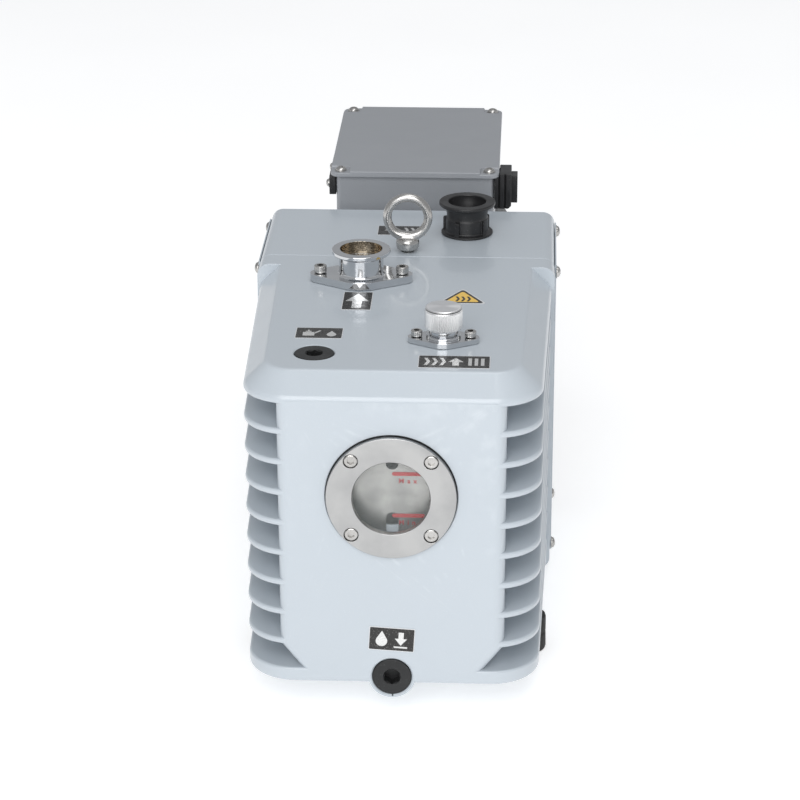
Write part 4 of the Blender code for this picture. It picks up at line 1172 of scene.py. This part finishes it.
def knob(base):
    """Gas ballast knob: straight knurl, a groove under a spun top with a round edge; the groove is painted
    dark as painted shade.
    """
    hub = 3 * MM + GAP
    top, low = KNOB_HIGH, KNOB_LOW
    profile = (
        (0, top),
        (KNOB_R - 1.6 * MM, top),
        (KNOB_R - 0.9 * MM, top - 0.25 * MM),
        (KNOB_R - 0.35 * MM, top - 0.9 * MM),
        (KNOB_R - 0.5 * MM, top - 1.6 * MM),
        (KNOB_R - 0.1 * MM, top - 2.3 * MM),
        (KNOB_R, top - 2.6 * MM),
        (KNOB_R, low + 0.9 * MM),
        (KNOB_R - 0.8 * MM, low),
        (hub, low),
        (hub, top - 4 * MM + GAP),
        (0, top - 4 * MM + GAP),
    )
    made = piece(
        "ballast_knurled_knob",
        turned(profile, base, "up", 480, wave=(60, 0.5 * MM, 6, 7)),
        KNOB_SIDE,
        "ballast_knob",
        ("ballast_knob",),
        angle=45,
    )
    face_z = TOP_Z + GAP + top
    paint_faces(made, KNOB_TOP, lambda centre, normal: centre.z > face_z - 0.3 * MM)
    # painted shade: the groove's upper wall gets the black oxide finish to stand for the shade inside the
    # groove
    paint_faces(
        made,
        OXIDE,
        lambda centre, normal: face_z - 1.7 * MM < centre.z < face_z - 1.0 * MM,
    )


def exhaust_port():
    """Moulded port: thin flange, narrowing cone, ribbed socket on a base disc."""
    top = EXHAUST_HEIGHT
    bore = 13.4 * MM
    profile = (
        (bore + 0.4 * MM, top),
        (KF_R - 0.5 * MM, top),
        (KF_R, top - 0.5 * MM),
        (KF_R, top - 2.2 * MM),
        (KF_R - 0.6 * MM, top - 2.7 * MM),
        (16.6 * MM, top - 3.4 * MM),
        (15.3 * MM, top - 5.4 * MM),
        (14.4 * MM, top - 10 * MM),
        (14.6 * MM, top - 11.6 * MM),
        (15.2 * MM, top - 12.2 * MM),
        (15.2 * MM, 2.6 * MM),
        (16 * MM, 1.8 * MM),
        (18.1 * MM, 1.5 * MM),
        (18.4 * MM, 1.1 * MM),
        (18.4 * MM, 0),
        (11 * MM, 0),
        (11 * MM, -10 * MM),
        (9 * MM, -10 * MM),
        (9 * MM, 8 * MM),
        (bore, top - 6 * MM),
        (bore, top - 0.4 * MM),
    )
    where = at(EXHAUST_X, EXHAUST_DEPTH, TOP_Z + GAP)
    port = turned(profile, where, "up", 120, ring=True)
    ribs = 5
    for i in range(ribs):
        turn = radians(-115 + i * 360 / ribs)
        outline = [(14.6 * MM, 0.8 * MM), (17.2 * MM, 0.8 * MM)]
        outline += arc((15.9 * MM, 10.4 * MM), 1.3 * MM, 0, 90, 6)
        outline += [(14.6 * MM, 11.7 * MM)]
        thick = 3.4 * MM if i in (0, 2, 3) else 1.6 * MM
        rib = extruded([outline], thick, (0, 0, 0), "front")
        rib.data.transform(Matrix.Rotation(pi / 2, 4, "X"))
        rib.data.transform(Matrix.Translation((0, thick / 2, 0)))
        rib.rotation_euler = (0, 0, turn)
        rib.location = where
        join(port, rib)
    piece("exhaust_socket", port, PLASTIC, nodes=("exhaust_port",), edge=0.35 * MM, angle=38)


def eye_bolt():
    """Forged lifting eye: ring, waist and collar melted into one smooth form."""
    major, minor = 14.3 * MM, 3.05 * MM
    bm = bmesh.new()
    rows = []
    around, across = 120, 28
    for i in range(around):
        turn = 2 * pi * i / around
        low = max(0.0, -sin(turn))
        thick = minor * (1 + 0.22 * low**3)
        row = []
        for j in range(across):
            angle = 2 * pi * j / across
            reach = major + thick * cos(angle)
            row.append(bm.verts.new((reach * cos(turn), thick * sin(angle), reach * sin(turn))))
        rows.append(row)
    for i in range(around):
        first, second = rows[i], rows[(i + 1) % around]
        for j in range(across):
            k = (j + 1) % across
            bm.faces.new((first[j], first[k], second[k], second[j]))
    bmesh.ops.recalc_face_normals(bm, faces=bm.faces)
    ring = from_bmesh(bm, at(0, EYE_DEPTH, TOP_Z + 25 * MM))
    collar = turned(
        (
            (0, 10.6 * MM),
            (5.4 * MM, 10.4 * MM),
            (7.2 * MM, 9.4 * MM),
            (8.0 * MM, 8.2 * MM),
            (8.3 * MM, 6.6 * MM),
            (7.9 * MM, 3.0 * MM),
            (7.1 * MM, 2.0 * MM),
            (4 * MM, 1.4 * MM),
            (4 * MM, -11 * MM),
            (0, -11 * MM),
        ),
        at(0, EYE_DEPTH, TOP_Z),
        "up",
        72,
    )
    join(ring, collar)
    remesh = ring.modifiers.new("melt", "REMESH")
    remesh.mode = "VOXEL"
    remesh.voxel_size = 0.42 * MM
    smooth = ring.modifiers.new("forge", "SMOOTH")
    smooth.factor = 0.5
    smooth.iterations = 9
    piece("lifting_eye", ring, STAINLESS, nodes=("eye_bolt",), angle=80)


# ---------------------------------------------------------------- coupling housing


def coupling_housing():
    front = SEAM_DEPTH + GAP
    outline = rounded_rectangle((-FLANGE_HALF, FLANGE_HALF), (FLANGE_BASE_Z, TOP_Z), FLANGE_EDGE_R)
    body = extruded([outline], HOUSING_END - front, at(0, HOUSING_END, 0), "front")
    inside = (front + 15 * MM, HOUSING_END - 11 * MM)
    cavity = block_between((-95 * MM, 95 * MM), inside, (22 * MM, 229 * MM))
    window_depth = (inside[0] + 6 * MM, inside[1] - 6 * MM)
    window = block_between((-110 * MM, 110 * MM), window_depth, (40 * MM, 210 * MM))
    cut(body, cavity, window)
    duct_x = (EXHAUST_X - 16 * MM, EXHAUST_X + 16 * MM)
    join(body, block_between(duct_x, (front + 5 * MM, 300 * MM), (204 * MM, 232 * MM)))
    cut(
        body,
        drum(11.3 * MM, 40 * MM, at(EXHAUST_X, EXHAUST_DEPTH, 215 * MM)),
        drum(8 * MM, 60 * MM, at(EXHAUST_X, EXHAUST_DEPTH, 218 * MM), "front", 32),
        drum(14 * MM, 20 * MM, at(0, front - 2 * MM, AXIS_Z), "back"),
        drum(40 * MM, 20 * MM, at(0, HOUSING_END - 15 * MM, AXIS_Z), "back"),
        drum(4 * MM + GAP, 20 * MM, at(0, EYE_DEPTH, TOP_Z - 12 * MM), segments=32),
    )
    piece(
        "coupling_case", body, CASING, nodes=("coupling_housing",),
        edge=0.5 * MM, steps=3,
    )
    number = 1
    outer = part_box("side_guard_right")[1].x
    for side, facing in ((-1, "left"), (1, "right")):
        for depth in GUARD_SCREW_DEPTHS:
            for z in GUARD_SCREW_HEIGHTS:
                where = at(side * (outer + 0.55 * MM), depth, z)
                pan_screw(f"guard_screw_{number}", 3.9 * MM, 2.5 * MM, where, facing)
                number += 1


# ---------------------------------------------------------------- terminal box


def lid_screw_places():
    depths = (LID_FRONT + LID_SCREW_INSET, LID_REAR - LID_SCREW_INSET)
    return [(side * (LID_HALF - LID_SCREW_INSET), depth) for side in (-1, 1) for depth in depths]


def terminal_box():
    front, rear = depth_of(BOX_LOW.y), depth_of(BOX_HIGH.y)
    high, low = BOX_HIGH.z, BOX_LOW.z
    outer = rounded_rectangle((-BOX_HALF, BOX_HALF), (front, rear), 4.2 * MM)
    body = extruded([outer], high - low, at(0, 0, low))
    inner_x = (BOX_WALL - BOX_HALF, BOX_HALF - BOX_WALL)
    inner = rounded_rectangle(inner_x, (front + BOX_WALL, rear - BOX_WALL), 2 * MM)
    cut(body, extruded([inner], high, at(0, 0, low + BOX_WALL)))
    for x, depth in lid_screw_places():
        join(body, drum(3.2 * MM, high - low - 3 * MM, at(x, depth, low + 2 * MM), segments=32))
        cut(body, drum(2 * MM, 14 * MM, at(x, depth, high - 12 * MM), segments=24))
    cut(body, drum(14 * MM, 10 * MM, at(0, 440 * MM, low - 2 * MM)))
    cut(body, block_between((-BOX_HALF - 5 * MM, -BOX_HALF + 8 * MM), SOCKET_DEPTH, SOCKET_Z))
    piece("terminal_case", body, GREY, nodes=("terminal_box",), edge=0.5 * MM, steps=2)
    terminal_lid()


def terminal_lid():
    """Lid with a raised panel, lowered corner pads and a rounded skirt."""
    lid_low = LID_TOP - LID_THICK
    outer = rounded_rectangle((-LID_HALF, LID_HALF), (LID_FRONT, LID_REAR), 7 * MM)
    lid = extruded([outer], LID_THICK, at(0, 0, lid_low))
    middle = (LID_FRONT + LID_REAR) / 2
    pad_z = LID_TOP - LID_PAD_DROP
    for x, depth in lid_screw_places():
        side = 1 if x > 0 else -1
        way = 1 if depth > middle else -1
        pad = rounded_rectangle((-6.5 * MM, 30 * MM), (-6.5 * MM, 30 * MM), 5 * MM)
        pad = [(side * a, way * b) for a, b in pad]
        if side * way < 0:
            pad.reverse()
        cut(lid, extruded([pad], 8 * MM, at(x, depth, pad_z)))
        cut(lid, drum(2.3 * MM, 20 * MM, at(x, depth, lid_low - 5 * MM), segments=24))
    piece("terminal_cover", lid, GREY, nodes=("terminal_box_lid",), edge=0.7 * MM)
    for i, (x, depth) in enumerate(lid_screw_places(), 1):
        pan_screw(f"cover_screw_{i}", 3.9 * MM, 2.6 * MM, at(x, depth, pad_z + 0.55 * MM), "up")


# ---------------------------------------------------------------- power inlet and switch


def shrunk(span, by):
    return (span[0] + by, span[1] - by)


def electrics():
    low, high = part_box("power_inlet")
    depth = (depth_of(low.y), depth_of(high.y))
    wall = BOX_HALF + GAP
    plate_z = (low.z, high.z)
    inlet = block_between((-wall - 5 * MM, -wall), depth, plate_z)
    shell_depth, shell_z = shrunk(SOCKET_DEPTH, 2 * GAP), shrunk(SOCKET_Z, 2 * GAP)
    join(inlet, block_between((-wall - 2 * MM, high.x), shell_depth, shell_z))
    hole_depth, hole_z = shrunk(SOCKET_DEPTH, SOCKET_WALL), shrunk(SOCKET_Z, SOCKET_WALL)
    cut(inlet, block_between((-wall - 6 * MM, high.x - 2 * MM), hole_depth, hole_z))
    piece("power_socket", inlet, PLASTIC, nodes=("power_inlet",), edge=0.8 * MM)
    for i, way in enumerate((-1, 1), 1):
        screw_depth = SOCKET_MIDDLE + way * SOCKET_SCREW_REACH
        where = at(-wall - 5.55 * MM, screw_depth, SOCKET_SCREW_Z)
        pan_screw(f"socket_screw_{i}", 2.9 * MM, 2.1 * MM, where, "left")
    for i, pin in enumerate((-6 * MM, 0, 6 * MM), 1):
        blade = block_between(
            (high.x - 8 * MM, high.x - 2.2 * MM),
            (SOCKET_MIDDLE + pin - 0.6 * MM, SOCKET_MIDDLE + pin + 0.6 * MM),
            (246.4 * MM, 250.4 * MM),
        )
        blade.location.x -= 6 * MM
        piece(f"socket_pin_{i}", blade, STEEL, edge=0.2 * MM)
    switch_body()


def switch_body():
    """Black switch block with a stepped front and the rocker frame on its outer side."""
    low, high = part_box("power_switch_body")
    wall = low.x
    outline = [
        (wall, low.z),
        (high.x - 2.2 * MM, low.z),
        (high.x, low.z + 2.2 * MM),
        (high.x, 259 * MM),
        (LID_HALF + GAP, 259 * MM),
        (LID_HALF + GAP, 256 * MM),
        (wall, 256 * MM),
    ]
    outline = [(x, min(z, high.z)) for x, z in outline]
    body = extruded([outline], high.y - low.y, (0, high.y, 0), "front")
    depth = (depth_of(low.y) + 5.7 * MM, depth_of(high.y) - 5.7 * MM)
    cut(body, block_between((67 * MM, 75 * MM), depth, (234.7 * MM, 256.3 * MM)))
    for x in (62 * MM, 66.5 * MM):
        groove_depth = (depth_of(low.y) - 1 * MM, depth_of(low.y) + 0.6 * MM)
        groove = block_between((x, x + 0.8 * MM), groove_depth, (225 * MM, 265 * MM))
        cut(body, groove)
    piece("switch_block", body, PLASTIC, nodes=("power_switch_body",), edge=0.6 * MM)
    low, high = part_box("power_button")
    button = block_between((low.x, high.x), (depth_of(low.y), depth_of(high.y)), (low.z, high.z))
    for i in range(4):
        z = low.z + (4.5 + 4 * i) * MM
        span = (depth_of(low.y) + 2 * MM, depth_of(high.y) - 2 * MM)
        cut(button, block_between((high.x - 0.5 * MM, high.x + 2 * MM), span, (z, z + 1.2 * MM)))
    piece(
        "switch_button", button, PLASTIC, "power_button", ("power_button",),
        edge=0.45 * MM,
    )


# ---------------------------------------------------------------- feet


def feet():
    for node in ("front_foot_left", "front_foot_right", "rear_foot_left", "rear_foot_right"):
        low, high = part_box(node)
        radius, top = (high.x - low.x) / 2, high.z
        profile = (
            (0, top),
            (radius - 2 * MM, top),
            (radius - 0.6 * MM, top - 0.6 * MM),
            (radius - 0.2 * MM, top - 2 * MM),
            (radius - 0.2 * MM, top / 2 + 1 * MM),
            (radius - 1.1 * MM, top / 2),
            (radius - 0.2 * MM, top / 2 - 1 * MM),
            (radius, 2 * MM),
            (radius - 0.5 * MM, 0.5 * MM),
            (radius - 1.8 * MM, 0),
            (0, 0),
        )
        centre = (low + high) / 2
        foot = turned(profile, (centre.x, centre.y, 0), "up", 72)
        piece(f"{node}_pad", foot, RUBBER, nodes=(node,), angle=50)


# ---------------------------------------------------------------- labels


def label_plate(name, width, height, where, turn, facing="up", look=None):
    """A thin metal label with round corners and a pale printed edge, and its pictogram's frame."""
    thick = 0.28 * MM
    shape = Matrix.Rotation(turn, 4, "Z")
    plate = extruded(
        [rounded_rectangle((-width / 2, width / 2), (-height / 2, height / 2), 0.8 * MM, 5)],
        thick,
        where,
        facing,
    )
    plate.data.transform(shape)
    piece(name, plate, LABEL_EDGE, edge=0.08 * MM, steps=2)
    inset = 0.55 * MM
    x, y = width / 2 - inset, height / 2 - inset
    field = extruded([rounded_rectangle((-x, x), (-y, y), 0.5 * MM, 4)], thick + 0.05 * MM, where, facing)
    field.data.transform(shape)
    piece(f"{name}_field", field, look or LABEL_BLACK)


def mark(name, outlines, where, turn, facing="up", look=None, lift=0.34 * MM):
    """Flat printed shapes that stand a hair above a label's field."""
    shape = Matrix.Rotation(turn, 4, "Z")
    joined = bmesh.new()
    for outline in outlines:
        flat = extruded([outline], lift + 0.07 * MM, (0, 0, 0))
        joined.from_mesh(flat.data)
    printed_shape = from_bmesh(joined, where, facing)
    printed_shape.data.transform(shape)
    piece(name, printed_shape, look or LABEL_SILVER)


def bar(x, y, width, height):
    return [(x, y), (x + width, y), (x + width, y + height), (x, y + height)]


def drop(x, y, size):
    """A drop of oil with its point up."""
    outline = arc((x, y - 0.2 * size), 0.42 * size, -210, 30, 16)
    return outline + [(x, y + 0.62 * size)]


def arrow(x, y, width, height, up=True):
    """A block arrow centred on a point."""
    stem, head = 0.42 * width, 0.52 * height
    sign = 1 if up else -1
    points = [
        (-stem / 2, -height / 2),
        (stem / 2, -height / 2),
        (stem / 2, height / 2 - head),
        (width / 2, height / 2 - head),
        (0, height / 2),
        (-width / 2, height / 2 - head),
        (-stem / 2, height / 2 - head),
    ]
    made = [(x + a, y + sign * b) for a, b in points]
    return made if up else made[::-1]


def oil_can(x, y, size):
    """Side view of a small can: body, spout and handle bar."""
    body = bar(x - 0.45 * size, y - 0.45 * size, 0.7 * size, 0.55 * size)
    spout = [
        (x + 0.2 * size, y + 0.0 * size),
        (x + 0.28 * size, y - 0.12 * size),
        (x + 0.62 * size, y + 0.34 * size),
        (x + 0.52 * size, y + 0.40 * size),
    ]
    lid = bar(x - 0.3 * size, y + 0.16 * size, 0.34 * size, 0.12 * size)
    knob_bar = bar(x - 0.18 * size, y + 0.32 * size, 0.1 * size, 0.14 * size)
    return [body, spout, lid, knob_bar]


def wave_strokes(x, y, size, count):
    """Short slanted strokes side by side, for air or heat."""
    strokes = []
    for i in range(count):
        left = x + (i - count / 2 + 0.25) * 0.42 * size
        strokes.append(
            [
                (left, y - size / 2),
                (left + 0.18 * size, y - size / 2),
                (left + 0.34 * size, y),
                (left + 0.18 * size, y + size / 2),
                (left, y + size / 2),
                (left + 0.16 * size, y),
            ]
        )
    return strokes


def labels():
    top = TOP_Z + 0.02 * MM
    drain = at(0, -0.02 * MM, 58.5 * MM)
    tilt = radians(-3.5)
    label_plate("drain_label", 30 * MM, 17 * MM, drain, tilt, "front")
    drain_marks = [drop(-6.6 * MM, 0.2 * MM, 9 * MM), arrow(6 * MM, 0.6 * MM, 8 * MM, 9.5 * MM, up=False)]
    drain_marks += [bar(1.6 * MM, -6.0 * MM, 8.8 * MM, 1.1 * MM)]
    mark("drain_label_mark", drain_marks, drain, tilt, "front")
    fill = at(-50.5 * MM, 76.9 * MM, top)
    label_plate("fill_label", 31 * MM, 19 * MM, fill, 0)
    fill_marks = oil_can(-5.6 * MM, 0, 11 * MM) + [drop(8.2 * MM, -1.2 * MM, 7.5 * MM)]
    mark("fill_label_mark", fill_marks, fill, 0)
    inlet = at(-29.3 * MM, 137.5 * MM, top)
    label_plate("inlet_label", 20 * MM, 34 * MM, inlet, 0)
    mark("inlet_label_mark", [arrow(0, 0, 15.5 * MM, 27 * MM)], inlet, 0)
    outlet = at(-5.9 * MM, 282.5 * MM, top)
    label_plate("outlet_label", 35 * MM, 20 * MM, outlet, 0)
    outlet_marks = [arrow(-7 * MM, 0, 11 * MM, 13 * MM)] + wave_strokes(7 * MM, 0, 11 * MM, 3)
    mark("outlet_label_mark", outlet_marks, outlet, 0)
    ballast = at(38.8 * MM, 29.6 * MM, top)
    label_plate("ballast_label", 46 * MM, 21 * MM, ballast, 0)
    ballast_marks = wave_strokes(-13 * MM, 0, 12 * MM, 3)
    ballast_marks += [arrow(1 * MM, 0, 10 * MM, 13 * MM), bar(9 * MM, -6 * MM, 2.2 * MM, 12 * MM)]
    ballast_marks += [bar(13 * MM, -6 * MM, 2.2 * MM, 12 * MM), bar(17 * MM, -6 * MM, 2.2 * MM, 12 * MM)]
    mark("ballast_label_mark", ballast_marks, ballast, 0)
    heat_mark(at(41 * MM, 145 * MM, top))


def heat_mark(where):
    """Yellow triangle with a dark border on a pale edge, and three plain strokes."""
    for name, reach, thick, look in (
        ("heat_mark_edge", 17.6 * MM, 0.20 * MM, LABEL_EDGE),
        ("heat_mark_border", 15.6 * MM, 0.26 * MM, LABEL_BLACK),
        ("heat_mark_field", 12.2 * MM, 0.32 * MM, LABEL_YELLOW),
    ):
        outline = []
        for corner in (90, 210, 330):
            centre = (0.9 * reach * cos(radians(corner)), 0.9 * reach * sin(radians(corner)))
            outline += arc(centre, 0.1 * reach, corner - 60, corner + 60, 5)
        piece(name, extruded([outline], thick, where), look)
    strokes = wave_strokes(0, -1.2 * MM, 9 * MM, 3)
    mark("heat_mark_strokes", strokes, where, 0, look=LABEL_BLACK, lift=0.3 * MM)


# ---------------------------------------------------------------- CAD nodes that stay


def dress_cad_nodes():
    """Materials, soft edges and smooth shading for the CAD nodes that stay in view."""
    slots = {part["node"]: part["material_slot"] for part in frame["record"]["subparts"]}
    for name, node in frame["nodes"].items():
        if node.hide_render:
            continue
        node.data.materials.clear()
        node.data.materials.append(SLOT_LOOKS[slots[name]])
        node.data.polygons.foreach_set("use_smooth", [True] * len(node.data.polygons))
        merge = node.modifiers.new("merge", "WELD")
        merge.merge_threshold = 0.00001
        flat = node.modifiers.new("flat_faces", "DECIMATE")
        flat.decimate_type = "DISSOLVE"
        flat.angle_limit = radians(0.5)
        bevel = node.modifiers.new("edges", "BEVEL")
        bevel.width = 0.35 * MM
        bevel.segments = 2
        bevel.limit_method = "ANGLE"
        bevel.angle_limit = radians(40)
        bevel.use_clamp_overlap = True
        normals = node.modifiers.new("normals", "WEIGHTED_NORMAL")
        normals.keep_sharp = True


# ---------------------------------------------------------------- studio


def studio():
    mesh = bpy.data.meshes.new("floor")
    corners = [(x * FLOOR_REACH, y * FLOOR_REACH, 0) for x, y in ((-1, -1), (1, -1), (1, 1), (-1, 1))]
    mesh.from_pydata(corners, [], [(0, 1, 2, 3)])
    floor = bpy.data.objects.new("floor", mesh)
    bpy.context.scene.collection.objects.link(floor)
    made = Finish("studio_floor", Roughness=0.8)
    made.shader.inputs["Emission Color"].default_value = (1, 1, 1, 1)
    made.shader.inputs["Emission Strength"].default_value = 0.42
    made.colour(made.blend(made.spread(made.noise(3, 3), 0, 1), (0.84, 0.84, 0.84), (0.86, 0.86, 0.86)))
    mesh.materials.append(made.material)
    world = bpy.data.worlds.new("studio")
    bpy.context.scene.world = world
    world.use_nodes = True
    background = world.node_tree.nodes["Background"]
    background.inputs["Color"].default_value = (0.95, 0.97, 1.0, 1)
    background.inputs["Strength"].default_value = 0.47
    for name, place, size, watts in (
        ("key", (-0.2, -2.5, 1.6), 2.2, 52),
        ("overhead", (0.3, -0.3, 2.6), 1.4, 12),
    ):
        light = bpy.data.lights.new(name, "AREA")
        light.size = size
        light.energy = watts
        lamp = bpy.data.objects.new(name, light)
        lamp.location = place
        lamp.rotation_euler = (Vector((0, 0, 0.14)) - Vector(place)).to_track_quat("-Z", "Y").to_euler()
        bpy.context.scene.collection.objects.link(lamp)
    bpy.context.scene.view_settings.view_transform = "Standard"


def camera():
    place = Vector(CAMERA_PLACE)
    yaw, pitch, roll = (radians(angle) for angle in CAMERA_TURN)
    ahead = Vector((-sin(yaw) * cos(pitch), cos(yaw) * cos(pitch), -sin(pitch)))
    right = Vector((cos(yaw), sin(yaw), 0))
    up = right.cross(ahead)
    rolled_right = right * cos(roll) + up * sin(roll)
    rolled_up = up * cos(roll) - right * sin(roll)
    data = bpy.data.cameras.new("camera")
    data.sensor_width = 36
    data.lens = CAMERA_LENS
    obj = bpy.data.objects.new("camera", data)
    turn = Matrix((rolled_right, rolled_up, -ahead)).transposed()
    obj.matrix_world = Matrix.Translation(place) @ turn.to_4x4()
    bpy.context.scene.collection.objects.link(obj)
    bpy.context.scene.camera = obj


def main():
    oil_casing()
    sight_glass()
    threaded_plug("oil_fill", at(FILL_X, FILL_DEPTH, TOP_Z), "up")
    threaded_plug("oil_drain", at(0, 0, DRAIN.z), "front")
    inlet_port()
    gas_ballast()
    exhaust_port()
    eye_bolt()
    coupling_housing()
    terminal_box()
    electrics()
    feet()
    labels()
    dress_cad_nodes()
    for obj in list(WORK.objects):
        bpy.data.objects.remove(obj)
    studio()
    camera()


main()
